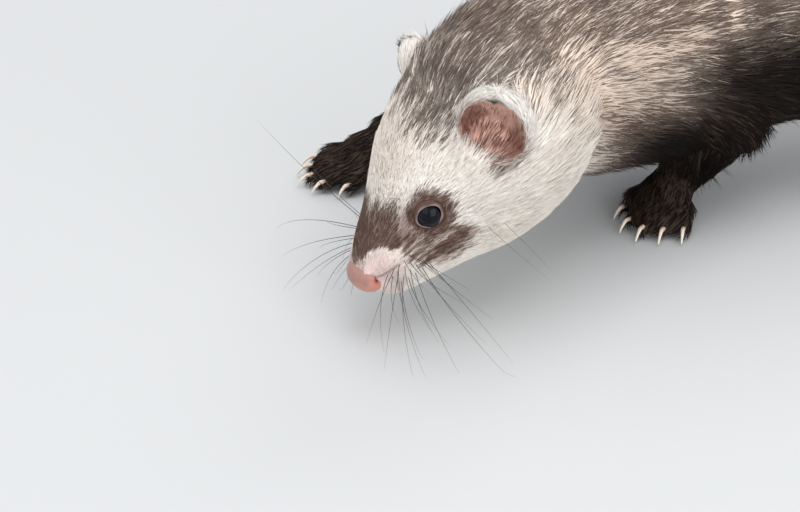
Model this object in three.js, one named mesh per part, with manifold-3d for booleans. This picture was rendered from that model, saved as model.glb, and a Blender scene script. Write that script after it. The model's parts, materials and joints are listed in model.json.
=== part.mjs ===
// A life-size still model of a sable ferret, on four paws with its head lowered to sniff the ground.
// Millimetres, +Z up. The animal faces -X and leans towards -Y; the floor is the plane Z = 0.
// Every solid gives the outline of the coat. Short fur, whiskers and markings are not modelled here.
import * as THREE from "three";
import { LoftGeometry } from "three/addons/geometries/LoftGeometry.js";
import { mergeVertices } from "three/addons/utils/BufferGeometryUtils.js";
import Module from "manifold-3d";

const wasm = await Module();
wasm.setup();

const point = (x, y, z) => new THREE.Vector3(x, y, z);
const radians = THREE.MathUtils.degToRad;

// Gap kept between two touching solids.
const GAP = 0.3;
// How close two vertices of a surface are to count as one.
const WELD = 1e-4;

// Pose of the head: the tip of the nose, and the way the muzzle points.
const NOSE_TIP = point(0, 0, 15);
const HEAD_HEADING = 33;
const HEAD_PITCH = 44;
const HEAD_ROLL = -5;

// Spine from the nape to the tip of the tail: where the middle of the body is, its half width, and
// its height above and below the middle.
const SPINE = {
  nape: { at: point(33, 21, 60), wide: 21, up: 19, down: 21 },
  throat: { at: point(44, 36, 60), wide: 24, up: 22.5, down: 30 },
  neck: { at: point(57, 53, 56.5), wide: 27, up: 26.5, down: 34.5 },
  withers: { at: point(69, 67, 52), wide: 30.5, up: 31, down: 35.5 },
  shoulder: { at: point(84, 81, 48.5), wide: 33, up: 35, down: 35.5 },
  chest: { at: point(112, 96, 49), wide: 33, up: 35.5, down: 33.5 },
  ribs: { at: point(150, 108, 52), wide: 33, up: 36, down: 32 },
  loin: { at: point(195, 116, 57), wide: 32.5, up: 36, down: 33.5 },
  hip: { at: point(236, 119, 55), wide: 34, up: 35, down: 34 },
  rump: { at: point(265, 117, 49), wide: 28, up: 28, down: 28 },
  tailRoot: { at: point(288, 113, 43), wide: 16, up: 16, down: 16 },
  tailUpper: { at: point(325, 106, 36), wide: 14, up: 14, down: 14 },
  tailLower: { at: point(370, 99, 30), wide: 12.5, up: 12.5, down: 12.5 },
  tailEnd: { at: point(408, 95, 26), wide: 8, up: 8, down: 8 },
  tailTip: { at: point(432, 93, 24), wide: 1.4, up: 1.4, down: 1.4 },
};
const SPINE_ORDER = Object.keys(SPINE);
const SPINE_SIDES = 24;
const SPINE_STEPS = 32;

// Where the spine is parted into named lengths, as places between two of its stations.
const CUTS = { neck: 0.85, chest: 3.1, belly: 5.6, rump: 7.5, tail: 9.75 };

// Sections of the head along the muzzle's own axis, out to the coat: distance behind the tip of the
// nose, half width, the level of the widest place, and the top and bottom. The last ones run into
// the throat.
const SKULL = [
  { back: 2.2, wide: 5.2, level: -1.6, top: 3.6, bottom: -7.6 },
  { back: 5, wide: 8.0, level: -2.4, top: 5.2, bottom: -11.2 },
  { back: 10, wide: 10.4, level: -3.2, top: 7.6, bottom: -14.2 },
  { back: 17, wide: 12.4, level: -3.8, top: 10.8, bottom: -18.6 },
  { back: 24, wide: 15.2, level: -4.2, top: 14.8, bottom: -22.6 },
  { back: 33, wide: 20.6, level: -4.6, top: 19.2, bottom: -27.6 },
  { back: 44, wide: 25.0, level: -4.8, top: 22.0, bottom: -31.0 },
  { back: 56, wide: 26.4, level: -5.0, top: 22.4, bottom: -32.0 },
  { back: 67, wide: 25.0, level: -5.0, top: 21.0, bottom: -30.0 },
];
const SKULL_SIDES = 28;
const SKULL_STEPS = 18;

// The mouth: distance behind the nose and angle below the widest level, along the lip.
const MOUTH = [
  { back: 2.6, below: 88 },
  { back: 4.2, below: 64 },
  { back: 8.5, below: 40 },
  { back: 14.5, below: 30 },
  { back: 20.5, below: 25 },
];
const MOUTH_GROOVE = 0.65;
const LIP = 1.35;
const LIP_RISE = 1.1;

const EYE = { back: 27, side: 11.9, up: 4.6, radius: 4.3, facing: point(0.4, 0.88, 0.24), lid: 1.05 };
const EAR = {
  back: 51,
  side: 23,
  up: 10.2,
  axis: point(-0.62, 0.27, 0.74),
  facing: point(0.6, 0.68, 0.4),
  wide: 10.4,
  tall: 11.6,
  deep: 7,
  wall: 1.7,
  rise: 5.2,
};
// The ear on the far side is laid back, lower down the head.
const FAR_EAR_DROP = 8.2;
const NOSE = { wide: 5.5, tall: 4.6, deep: 4.0, drop: 0.6 };
const NOSTRIL = {
  inner: point(-4.6, 2.4, -1.0),
  outer: point(-1.4, 4.2, -1.2),
  rear: point(-4.2, 6.0, -2.6),
  radius: 0.95,
};

// Legs: the joints of each, the thickness there, and where its paw points in plan (0 is +X, 180 is -X).
const LEGS = {
  fore_left: {
    kind: "fore",
    upper: [[point(86, 63, 44), 15], [point(97, 63.5, 38), 13], [point(106, 64, 31.5), 10]],
    lower: [[point(106, 64, 31.5), 9.6], [point(99, 68, 21), 8.6], [point(92.5, 71.5, 12), 7.8]],
    wrist: point(92, 72, 10),
    heading: 240,
    mirror: 1,
  },
  fore_right: {
    kind: "fore",
    upper: [[point(64, 89, 42), 15], [point(50, 96, 35), 13], [point(39, 101, 26.5), 10.5]],
    lower: [[point(39, 101, 26.5), 10], [point(24, 95, 18.5), 8.2], [point(10, 91, 12.5), 7]],
    wrist: point(8.5, 90.5, 10.5),
    heading: 200,
    mirror: -1,
  },
  hind_left: {
    kind: "hind",
    upper: [[point(242, 104, 50), 21], [point(230, 95, 39), 18], [point(218, 89, 29), 12.5]],
    lower: [[point(219, 89, 28), 11.5], [point(238, 90, 20.5), 10], [point(256, 91, 13.5), 8.5]],
    wrist: point(257, 91, 10.5),
    heading: 183,
    mirror: 1,
  },
  hind_right: {
    kind: "hind",
    upper: [[point(246, 134, 50), 21], [point(238, 143, 39), 18], [point(228, 149, 29), 12.5]],
    lower: [[point(229, 149, 28), 11.5], [point(248, 150, 20.5), 10], [point(266, 150, 13.5), 8.5]],
    wrist: point(267, 150, 10.5),
    heading: 176,
    mirror: -1,
  },
};

// Paws: the flat of the foot from the wrist or heel to the knuckles, and five toes that fan out from there.
const PAWS = {
  fore: {
    palm: 13,
    palmWide: 8,
    palmTall: 6,
    knuckle: 5.8,
    toe: 9.4,
    toeRadius: 3.05,
    fan: 10,
    spacing: 3.6,
  },
  hind: {
    palm: 33,
    palmWide: 9,
    palmTall: 6.4,
    knuckle: 5.8,
    toe: 10.6,
    toeRadius: 3.25,
    fan: 8,
    spacing: 4,
  },
};
// Length of each toe as a share of the longest, from the inner side of the foot outwards.
const TOE_SHARES = [0.62, 0.92, 1.0, 0.97, 0.8];
const CLAW = { length: 5.6, radius: 1, sunk: 2.2, tip: 0.35 };

const FINISHES = {
  cream: { color: 0xe6dacb, roughness: 0.85, metalness: 0 },
  sable: { color: 0x2c2320, roughness: 0.85, metalness: 0 },
  nose: { color: 0xd99a8c, roughness: 0.45, metalness: 0 },
  eye: { color: 0x0b0d12, roughness: 0.06, metalness: 0 },
  claw: { color: 0xd8cdb4, roughness: 0.4, metalness: 0 },
  ear: { color: 0xdcae9d, roughness: 0.8, metalness: 0 },
};

// Turns a three.js geometry into a solid that can be joined and cut.
function solidOf(geometry) {
  const bare = new THREE.BufferGeometry().copy(geometry);
  bare.deleteAttribute("normal");
  bare.deleteAttribute("uv");
  const welded = mergeVertices(bare, WELD);
  const index = welded.index.array;
  const corners = [];
  for (let i = 0; i < index.length; i += 3) {
    const [a, b, c] = index.slice(i, i + 3);
    if (a !== b && b !== c && c !== a) corners.push(a, b, c);
  }
  const mesh = new wasm.Mesh({
    numProp: 3,
    vertProperties: new Float32Array(welded.attributes.position.array),
    triVerts: new Uint32Array(corners),
  });
  return new wasm.Manifold(mesh);
}

// Turns a solid back into a three.js geometry.
function geometryOf(solid) {
  const { vertProperties, triVerts } = solid.getMesh();
  const geometry = new THREE.BufferGeometry();
  geometry.setAttribute("position", new THREE.BufferAttribute(new Float32Array(vertProperties), 3));
  geometry.setIndex(new THREE.BufferAttribute(new Uint32Array(triVerts), 1));
  return geometry;
}

const join = (solids) => solids.reduce((whole, next) => whole.add(next));
const largest = (solid) => solid.decompose().sort((a, b) => b.volume() - a.volume())[0];
const ORIGIN = [0, 0, 0];

// The part of a solid on the side of a plane that its normal points to, half a gap clear of the plane.
function beyond(solid, normal, through) {
  return solid.trimByPlane(normal.toArray(), normal.dot(through) + GAP / 2);
}

// A value of a list of stations at a place between them, on a smooth curve through the stations.
function along(values, place) {
  const last = values.length - 1;
  const i = Math.min(Math.floor(place), last - 1);
  const t = place - i;
  const near = [i - 1, i, i + 1, i + 2].map((k) => values[Math.min(Math.max(k, 0), last)]);
  const [p0, p1, p2, p3] = near;
  const slope = (p2 - p0) / 2;
  const nextSlope = (p3 - p1) / 2;
  const bend = 3 * (p2 - p1) - 2 * slope - nextSlope;
  const twist = 2 * (p1 - p2) + slope + nextSlope;
  return p1 + slope * t + bend * t * t + twist * t * t * t;
}

// A ring of points around a middle, square to the way along, with its own width, height above and below.
function ring(middle, way, upright, size, sides) {
  const up = upright.clone().addScaledVector(way, -upright.dot(way)).normalize();
  const side = up.clone().cross(way).normalize();
  return Array.from({ length: sides }, (_, k) => {
    const angle = (2 * Math.PI * k) / sides;
    const height = Math.sin(angle) * (Math.sin(angle) > 0 ? size.up : size.down);
    const across = middle.clone().addScaledVector(side, Math.cos(angle) * size.wide);
    return across.addScaledVector(up, height);
  });
}

const ROUND_END = [80, 55, 28];
const PLAIN_END = [52];

// A closed tube through stations, rounded at both ends like the end of an egg.
function tube(stations, upright, sides, steps, grow = 0, end = ROUND_END) {
  const last = stations.length - 1;
  const pointAt = (place) =>
    point(...["x", "y", "z"].map((axis) => along(stations.map((s) => s.at[axis]), place)));
  const sizeAt = (place) => ({
    wide: along(stations.map((s) => s.wide), place) + grow,
    up: along(stations.map((s) => s.up), place) + grow,
    down: along(stations.map((s) => s.down), place) + grow,
  });
  const wayAt = (place) => {
    const a = pointAt(Math.max(place - 0.02, 0));
    return pointAt(Math.min(place + 0.02, last)).sub(a).normalize();
  };
  const scaled = (size, share) => ({
    wide: size.wide * share,
    up: size.up * share,
    down: size.down * share,
  });
  const sections = [];
  const capAngles = end.map(radians);
  for (const angle of capAngles) {
    const size = sizeAt(0);
    const middle = pointAt(0).addScaledVector(wayAt(0), -Math.sin(angle) * size.wide);
    sections.push(ring(middle, wayAt(0), upright, scaled(size, Math.cos(angle)), sides));
  }
  for (let i = 0; i <= steps; i++) {
    const place = (last * i) / steps;
    sections.push(ring(pointAt(place), wayAt(place), upright, sizeAt(place), sides));
  }
  for (const angle of capAngles.toReversed()) {
    const size = sizeAt(last);
    const middle = pointAt(last).addScaledVector(wayAt(last), Math.sin(angle) * size.wide);
    sections.push(ring(middle, wayAt(last), upright, scaled(size, Math.cos(angle)), sides));
  }
  return solidOf(new LoftGeometry(sections, { capStart: true, capEnd: true }));
}

// A round tube through points, each with its own radius.
function limb(pairs, upright, sides, steps, grow = 0, end = ROUND_END) {
  const stations = pairs.map(([at, r]) => ({ at, wide: r, up: r, down: r }));
  return tube(stations, upright, sides, steps, grow, end);
}

// An ellipsoid from a sphere, stretched and turned by a matrix.
function blob(matrix, sides = 20) {
  return solidOf(new THREE.SphereGeometry(1, sides, Math.round(sides * 0.6)).applyMatrix4(matrix));
}

const frameOf = (x, y, z, at) => new THREE.Matrix4().makeBasis(x, y, z).setPosition(at);

// The head's own frame: x along the muzzle, y to the animal's left, z up through the crown.
function headFrame() {
  const [heading, pitch, roll] = [HEAD_HEADING, HEAD_PITCH, HEAD_ROLL].map(radians);
  const reach = Math.cos(pitch);
  const forward = point(-Math.cos(heading) * reach, -Math.sin(heading) * reach, -Math.sin(pitch));
  const level = point(Math.sin(heading), -Math.cos(heading), 0);
  const crown = forward.clone().cross(level);
  const left = level.multiplyScalar(Math.cos(roll)).addScaledVector(crown, -Math.sin(roll));
  return frameOf(forward, left, forward.clone().cross(left), NOSE_TIP);
}
const HEAD = headFrame();
const inHead = (x, y, z) => point(x, y, z).applyMatrix4(HEAD);
const headWay = (v) => v.clone().transformDirection(HEAD);

// Half width, top and bottom of the skull at a distance behind the nose.
function skullAt(place, grow) {
  const of = (key) => along(SKULL.map((s) => s[key]), place);
  return {
    back: of("back"),
    wide: of("wide") + grow,
    level: of("level"),
    top: of("top") + grow,
    bottom: of("bottom") - grow,
  };
}
const placeOfBack = (back) => {
  const i = SKULL.findIndex((s, k) => k === SKULL.length - 2 || SKULL[k + 1].back > back);
  return i + (back - SKULL[i].back) / (SKULL[i + 1].back - SKULL[i].back);
};

// A point on the skull, in the head's frame: the angle runs from the left side (0) over the top (90).
function skullPoint(section, angle, share = 1) {
  const { back, wide, level, top, bottom } = section;
  const height = Math.sin(angle) > 0 ? top - level : level - bottom;
  return point(-back, wide * Math.cos(angle) * share, level + height * Math.sin(angle) * share);
}

// The head out to the coat, with a blunt muzzle and a back that runs into the neck.
function skull(grow = 0) {
  const sections = [];
  const last = SKULL.length - 1;
  const ringOf = (section, share, shift) =>
    Array.from({ length: SKULL_SIDES }, (_, k) => {
      const p = skullPoint(section, (-2 * Math.PI * k) / SKULL_SIDES, share);
      return inHead(p.x + shift, p.y, p.z);
    });
  const front = skullAt(0, grow);
  const rear = skullAt(last, grow);
  for (const angle of [75, 40].map(radians)) {
    sections.push(ringOf(front, Math.cos(angle), 1.6 * Math.sin(angle)));
  }
  for (let i = 0; i <= SKULL_STEPS; i++) {
    sections.push(ringOf(skullAt((last * i) / SKULL_STEPS, grow), 1, 0));
  }
  for (const angle of [30, 60, 82].map(radians)) {
    sections.push(ringOf(rear, Math.cos(angle), -14 * Math.sin(angle)));
  }
  return solidOf(new LoftGeometry(sections, { capStart: true, capEnd: true }));
}

// A line along the lip on both sides, raised off the skull by some distance, as a thin round bar.
function lipBar(radius, lift, rise) {
  const half = MOUTH.map(({ back, below }) => {
    const p = skullPoint(skullAt(placeOfBack(back), lift), radians(-below));
    return point(p.x, p.y, p.z + rise);
  });
  const other = half.slice(1).reverse().map((p) => point(p.x, -p.y, p.z));
  const pairs = [...other, ...half].map((p) => [p.applyMatrix4(HEAD), radius]);
  return limb(pairs, headWay(point(0, 0, 1)), 6, 16, 0, PLAIN_END);
}

const sideways = (v, side) => point(v.x, v.y * side, v.z);

function eyeCentre(side) {
  return inHead(-EYE.back, EYE.side * side, EYE.up);
}

function eyeball(side, grow = 0) {
  const radius = EYE.radius + grow;
  return blob(stretched(new THREE.Matrix4().setPosition(eyeCentre(side)), radius, radius, radius, ORIGIN));
}

// A ring of lid round the opening of one eye.
function lids(side) {
  const facing = headWay(sideways(EYE.facing, side)).normalize();
  const depth = EYE.radius * 0.5;
  const ringRadius = Math.sqrt(EYE.radius ** 2 - depth ** 2) + EYE.lid * 0.35;
  const forward = headWay(point(1, 0, 0));
  const corner = forward.addScaledVector(facing, -forward.dot(facing)).normalize();
  const middle = eyeCentre(side).addScaledVector(facing, depth);
  const frame = frameOf(corner, facing.clone().cross(corner), facing, middle);
  const opening = new THREE.TorusGeometry(ringRadius, EYE.lid, 6, 16).scale(1.1, 0.96, 1);
  return solidOf(opening.applyMatrix4(frame));
}

// The frame of one ear: x across, y along its height, z out of its cup.
function earFrame(side) {
  const axis = headWay(sideways(EAR.axis, side)).normalize();
  const facing = headWay(sideways(EAR.facing, side));
  const out = facing.addScaledVector(axis, -facing.dot(axis)).normalize();
  const root = inHead(-EAR.back, EAR.side * side, side > 0 ? EAR.up : EAR.up - FAR_EAR_DROP);
  return frameOf(axis.clone().cross(out), axis, out, root.addScaledVector(axis, EAR.rise));
}

function stretched(frame, x, y, z, shift) {
  const moved = frame.clone().multiply(new THREE.Matrix4().makeTranslation(...shift));
  return moved.multiply(new THREE.Matrix4().makeScale(x, y, z));
}

// A cupped ear, cut clear of the head that it grows from.
function ear(side, head) {
  const frame = earFrame(side);
  const outer = blob(stretched(frame, EAR.wide, EAR.tall, EAR.deep, ORIGIN), 20);
  const cup = blob(
    stretched(frame, EAR.wide - EAR.wall, EAR.tall - EAR.wall, EAR.deep, [0, -0.6, EAR.deep * 0.5]),
    18,
  );
  const facing = point(0, 0, 1).transformDirection(frame);
  const mouth = point(0, 0, EAR.deep * 0.42).applyMatrix4(frame);
  const opened = outer.subtract(cup).trimByPlane(facing.clone().negate().toArray(), -facing.dot(mouth));
  return largest(opened.subtract(head));
}

// The nose pad and its two nostrils.
function nosePad(grow = 0) {
  const middle = [-NOSE.deep, 0, -NOSE.drop];
  return blob(stretched(HEAD, NOSE.deep + grow, NOSE.wide + grow, NOSE.tall + grow, middle), 18);
}

function nostril(side) {
  const [inner, outer, rear] = ["inner", "outer", "rear"].map((key) => {
    const p = sideways(NOSTRIL[key], side);
    return inHead(p.x, p.y, p.z);
  });
  const bore = limb([[inner, 0.7], [outer, NOSTRIL.radius]], headWay(point(0, 0, 1)), 6, 2, 0, PLAIN_END);
  return bore.add(limb([[outer, 0.6], [rear, 0.5]], headWay(point(0, 0, 1)), 6, 2, 0, PLAIN_END));
}

// The middle of each toe from its knuckle to its tip, and the way it points, for one paw.
function toesOf(leg) {
  const paw = PAWS[leg.kind];
  const way = point(Math.cos(radians(leg.heading)), Math.sin(radians(leg.heading)), 0);
  const left = point(-way.y, way.x, 0);
  const knuckles = leg.wrist.clone().addScaledVector(way, paw.palm).setZ(paw.knuckle);
  return TOE_SHARES.map((share, i) => {
    const place = (i - 2) * leg.mirror;
    const turn = radians(leg.heading + place * paw.fan);
    const toeWay = point(Math.cos(turn), Math.sin(turn), 0);
    const inner = i === 0 ? -4 : -1.2 * Math.abs(i - 2);
    const root = knuckles.clone().addScaledVector(left, place * paw.spacing).addScaledVector(way, inner);
    const length = paw.toe * share;
    const middle = root.clone().addScaledVector(toeWay, length * 0.5).setZ(paw.knuckle - 0.4);
    const tip = root.clone().addScaledVector(toeWay, length).setZ(paw.toeRadius - 0.5);
    return { root, middle, tip, way: toeWay, share };
  });
}

// One claw: it leaves the toe level and hooks down to just above the floor.
function claw(toe, radius, grow = 0) {
  const { length, sunk, tip } = CLAW;
  const size = length * (0.75 + 0.25 * toe.share);
  const start = toe.tip.clone().addScaledVector(toe.way, radius - sunk).setZ(radius + 0.4);
  const stations = [
    [start, CLAW.radius * 1.05],
    [start.clone().addScaledVector(toe.way, size * 0.4).setZ(radius + 0.6), CLAW.radius * 0.95],
    [start.clone().addScaledVector(toe.way, size * 0.75).setZ(radius - 0.4), CLAW.radius * 0.68],
    [start.clone().addScaledVector(toe.way, size).setZ(tip + 0.55), tip],
  ];
  return limb(stations, point(0, 0, 1), 5, 4, grow, PLAIN_END);
}

const FLOOR_NORMAL = point(0, 0, 1);

// The palm or sole from the wrist to the knuckles.
function palm(leg, grow = 0) {
  const paw = PAWS[leg.kind];
  const way = point(Math.cos(radians(leg.heading)), Math.sin(radians(leg.heading)), 0);
  const size = (wide, up, down) => ({ wide, up, down });
  const heel = paw.palmWide * 0.84;
  const middle = leg.wrist.clone().addScaledVector(way, paw.palm * 0.55);
  middle.z = (leg.wrist.z + paw.knuckle) / 2 + 0.6;
  const knuckles = leg.wrist.clone().addScaledVector(way, paw.palm).setZ(paw.knuckle);
  const stations = [
    { at: leg.wrist, ...size(heel, heel * 0.92, leg.kind === "hind" ? leg.wrist.z + 1.2 : heel * 0.92) },
    { at: middle, ...size(paw.palmWide * 0.95, paw.palmTall * 0.9, middle.z + 1.2) },
    { at: knuckles, ...size(paw.palmWide, paw.palmTall * 0.62, paw.knuckle + 0.9) },
  ];
  return tube(stations, FLOOR_NORMAL, 12, 4, grow);
}

// Lays out every named solid of the animal.
const parts = [];
function keep(name, solid, finish) {
  parts.push({ name, solid: largest(solid), finish });
}

const spineStations = SPINE_ORDER.map((name) => SPINE[name]);
const trunk = (grow) => tube(spineStations, FLOOR_NORMAL, SPINE_SIDES, SPINE_STEPS, grow);
const spinePoint = (place) =>
  point(...["x", "y", "z"].map((axis) => along(spineStations.map((s) => s.at[axis]), place)));
const spineWay = (place) => spinePoint(place + 0.05).sub(spinePoint(place - 0.05)).normalize();

// Head and trunk are modelled whole and parted with thin cuts square to the spine.
function partTrunk() {
  const sockets = [1, -1].map((side) => eyeball(side, GAP));
  const faced = join([skull(), trunk(0), lipBar(LIP, -LIP * 0.62, LIP_RISE), lids(1), lids(-1)]);
  const cuts = [lipBar(MOUTH_GROOVE, -0.1, 0), nosePad(GAP), ...sockets];
  let rest = cuts.reduce((s, cut) => s.subtract(cut), faced);
  let name = "head";
  for (const [next, place] of Object.entries(CUTS)) {
    const [normal, through] = [spineWay(place), spinePoint(place)];
    keep(name, beyond(rest, normal.clone().negate(), through), "cream");
    rest = beyond(rest, normal, through);
    name = next;
  }
  keep(name, rest, "sable");
}

function addFace() {
  const grownHead = skull(GAP).add(trunk(GAP));
  for (const [name, side] of [["left", 1], ["right", -1]]) {
    keep(`ear_${name}`, ear(side, grownHead), "ear");
    keep(`eye_${name}`, eyeball(side), "eye");
  }
  keep("nose", [1, -1].reduce((s, side) => s.subtract(nostril(side)), nosePad()), "nose");
}

function addLegs() {
  const grownTrunk = trunk(GAP);
  for (const [name, leg] of Object.entries(LEGS)) {
    const [upperName, lowerName] = leg.kind === "fore" ? ["upper_arm", "forearm"] : ["thigh", "shank"];
    const paw = PAWS[leg.kind];
    const toes = toesOf(leg);
    const claws = toes.map((toe) => claw(toe, paw.toeRadius));
    const toeSolids = toes.map((toe) => {
      const stations = [
        [toe.root, paw.toeRadius * 1.06],
        [toe.middle, paw.toeRadius * 1.04],
        [toe.tip, paw.toeRadius * 0.86],
      ];
      return limb(stations, FLOOR_NORMAL, 6, 2, 0, PLAIN_END);
    });
    const foot = join([palm(leg), ...toeSolids]).trimByPlane([0, 0, 1], 0);
    const grownClaws = toes.map((toe) => claw(toe, paw.toeRadius, GAP));
    keep(`paw_${name}`, [grownTrunk, ...grownClaws].reduce((s, cut) => s.subtract(cut), foot), "sable");
    toes.forEach((toe, i) => keep(`claw_${name}_${i + 1}`, claws[i], "claw"));
    const upper = (grow) => limb(leg.upper, point(0, 1, 0), 14, 5, grow);
    const lower = limb(leg.lower, FLOOR_NORMAL, 12, 5);
    keep(`${upperName}_${name}`, upper(0).subtract(grownTrunk), "sable");
    const around = [upper(GAP), grownTrunk, palm(leg, GAP)];
    keep(`${lowerName}_${name}`, around.reduce((s, cut) => s.subtract(cut), lower), "sable");
  }
}

partTrunk();
addFace();
addLegs();

// The origin is under the middle of the whole animal, on the floor.
const bounds = new THREE.Box3();
for (const { solid } of parts) {
  const { min, max } = solid.boundingBox();
  bounds.union(new THREE.Box3(point(...min), point(...max)));
}
const middle = bounds.getCenter(point(0, 0, 0));

const ferret = new THREE.Group();
ferret.position.set(-middle.x, -middle.y, 0);
for (const { name, solid, finish } of parts) {
  const mesh = new THREE.Mesh(geometryOf(solid), new THREE.MeshStandardMaterial(FINISHES[finish]));
  mesh.name = name;
  ferret.add(mesh);
}

export default ferret;
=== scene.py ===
"""Still model of a sable ferret: one skin, a coat of tufts, eyes, nose, claws and whiskers.

All shapes are worked out in millimetres in the pose's own frame, where the tip of the nose is above the
origin and the floor is Z = 0, and are moved into the part's frame, in metres, when a mesh is made.
"""

from __future__ import annotations

import json
import logging
import math
from dataclasses import dataclass, field
from enum import Enum

import bmesh
import bpy
import numpy as np
from mathutils import Euler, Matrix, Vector
from mathutils.bvhtree import BVHTree

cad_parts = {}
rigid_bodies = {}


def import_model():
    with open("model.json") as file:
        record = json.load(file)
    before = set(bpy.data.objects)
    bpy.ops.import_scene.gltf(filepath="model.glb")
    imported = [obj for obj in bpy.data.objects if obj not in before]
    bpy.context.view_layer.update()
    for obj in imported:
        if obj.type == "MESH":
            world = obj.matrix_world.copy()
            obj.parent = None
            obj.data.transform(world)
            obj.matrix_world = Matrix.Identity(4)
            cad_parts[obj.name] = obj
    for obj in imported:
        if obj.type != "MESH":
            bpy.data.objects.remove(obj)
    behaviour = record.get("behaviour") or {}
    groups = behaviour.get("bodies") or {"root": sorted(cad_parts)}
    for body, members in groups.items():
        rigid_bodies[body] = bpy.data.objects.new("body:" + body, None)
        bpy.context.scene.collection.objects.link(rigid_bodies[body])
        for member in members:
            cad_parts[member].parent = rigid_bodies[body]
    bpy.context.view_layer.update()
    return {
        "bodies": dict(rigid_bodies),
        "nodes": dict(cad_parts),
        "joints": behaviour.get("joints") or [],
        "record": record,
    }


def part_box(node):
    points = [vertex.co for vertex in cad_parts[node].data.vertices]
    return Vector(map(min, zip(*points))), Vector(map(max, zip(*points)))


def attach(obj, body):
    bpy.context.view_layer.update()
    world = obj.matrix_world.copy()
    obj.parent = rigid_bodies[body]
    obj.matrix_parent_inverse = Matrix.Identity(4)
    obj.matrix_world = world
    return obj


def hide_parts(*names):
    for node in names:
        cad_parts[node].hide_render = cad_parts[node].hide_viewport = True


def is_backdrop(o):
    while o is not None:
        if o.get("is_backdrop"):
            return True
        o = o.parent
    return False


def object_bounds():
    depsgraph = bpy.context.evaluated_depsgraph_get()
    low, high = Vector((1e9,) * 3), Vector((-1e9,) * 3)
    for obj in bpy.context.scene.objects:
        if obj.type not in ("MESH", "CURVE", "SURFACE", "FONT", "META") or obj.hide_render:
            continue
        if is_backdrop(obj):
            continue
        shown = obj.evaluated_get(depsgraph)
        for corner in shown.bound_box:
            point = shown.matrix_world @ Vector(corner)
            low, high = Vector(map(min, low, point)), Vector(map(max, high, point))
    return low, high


LOG = logging.getLogger("ferret")
MM = 0.001
SEED = 7151
SIDES = {"left": 1, "right": -1}
LATTICE = np.array([73856093, 19349663, 83492791])
LATTICE_SEED = 2654435761
LATTICE_TURN = 1274126177

Array = np.ndarray


def srgb(red: int, green: int, blue: int) -> Array:
    """Turns a screen colour into linear light."""
    c = np.array([red, green, blue]) / 255.0
    return np.where(c <= 0.04045, c / 12.92, ((c + 0.055) / 1.055) ** 2.4)


def unit(v: Array) -> Array:
    """Scales vectors to length one."""
    return v / np.maximum(np.linalg.norm(v, axis=-1, keepdims=True), 1e-9)


def ramp(x: Array, low: float, high: float) -> Array:
    """Rises smoothly from 0 to 1 between two values, or falls where low is above high."""
    t = np.clip((x - low) / (high - low), 0.0, 1.0)
    return t * t * (3.0 - 2.0 * t)


def blend(a: Array, b: Array, share: Array) -> Array:
    """Mixes two colours by a share of the second for each row."""
    s = np.asarray(share)[:, None]
    return a * (1.0 - s) + b * s


def noise(points: Array, size: float, seed: int) -> Array:
    """Smooth noise: a seeded value at each corner of a cubic lattice, eased across every cell.

    Args:
        points: places in mm.
        size: width of one cell in mm.
        seed: which noise.

    Returns:
        Values from -1 to 1.
    """
    p = points / size + 1000.0
    cell = np.floor(p).astype(np.int64)
    t = p - cell
    t = t * t * (3.0 - 2.0 * t)
    total = np.zeros(len(points))
    for corner in range(8):
        step = np.array([corner & 1, (corner >> 1) & 1, (corner >> 2) & 1])
        key = (cell + step) @ LATTICE + seed * LATTICE_SEED
        key = (key ^ (key >> 13)) * LATTICE_TURN
        value = ((key ^ (key >> 16)) & 0xFFFF) / 32767.5 - 1.0
        total += value * np.prod(np.where(step == 1, t, 1.0 - t), axis=1)
    return total


class Palette:
    """The animal's colours, in linear light."""

    WHITE = srgb(251, 244, 236)
    CREAM = srgb(247, 235, 223)
    THROAT = srgb(241, 233, 222)
    BEIGE = srgb(226, 203, 185)
    TAUPE = srgb(152, 130, 114)
    TIP = srgb(68, 50, 42)
    MASK = srgb(126, 96, 82)
    MASK_TIP = srgb(80, 52, 41)
    SABLE = srgb(26, 18, 16)
    SABLE_TIP = srgb(11, 8, 7)
    BLUSH = srgb(242, 218, 213)
    ASH = srgb(152, 128, 121)
    NOSE = srgb(206, 142, 127)
    NOSE_TOP = srgb(158, 124, 114)
    NOSTRIL = srgb(150, 38, 36)
    EAR = srgb(234, 184, 166)
    EAR_DEEP = srgb(138, 84, 72)
    LID = srgb(132, 114, 114)
    CLAW = srgb(234, 222, 206)
    QUICK = srgb(222, 194, 178)


def level_way(heading: float) -> Array:
    """The level direction at some degrees from +X."""
    return np.array([math.cos(math.radians(heading)), math.sin(math.radians(heading)), 0.0])


def smooth_path(stations: Array, steps: int) -> Array:
    """A path through stations by cubic pieces that share their slope where they meet.

    Args:
        stations: one row for each station.
        steps: how many rows come out.

    Returns:
        The rows of the path, evenly spread between the stations.
    """
    n = len(stations)
    place = np.linspace(0, n - 1, steps)
    i = np.minimum(place.astype(int), n - 2)
    t = (place - i)[:, None]
    p0, p1 = stations[np.maximum(i - 1, 0)], stations[i]
    p2, p3 = stations[i + 1], stations[np.minimum(i + 2, n - 1)]
    a, b = (p2 - p0) / 2, (p3 - p1) / 2
    return p1 + a * t + (3 * (p2 - p1) - 2 * a - b) * t**2 + (2 * (p1 - p2) + a + b) * t**3


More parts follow.
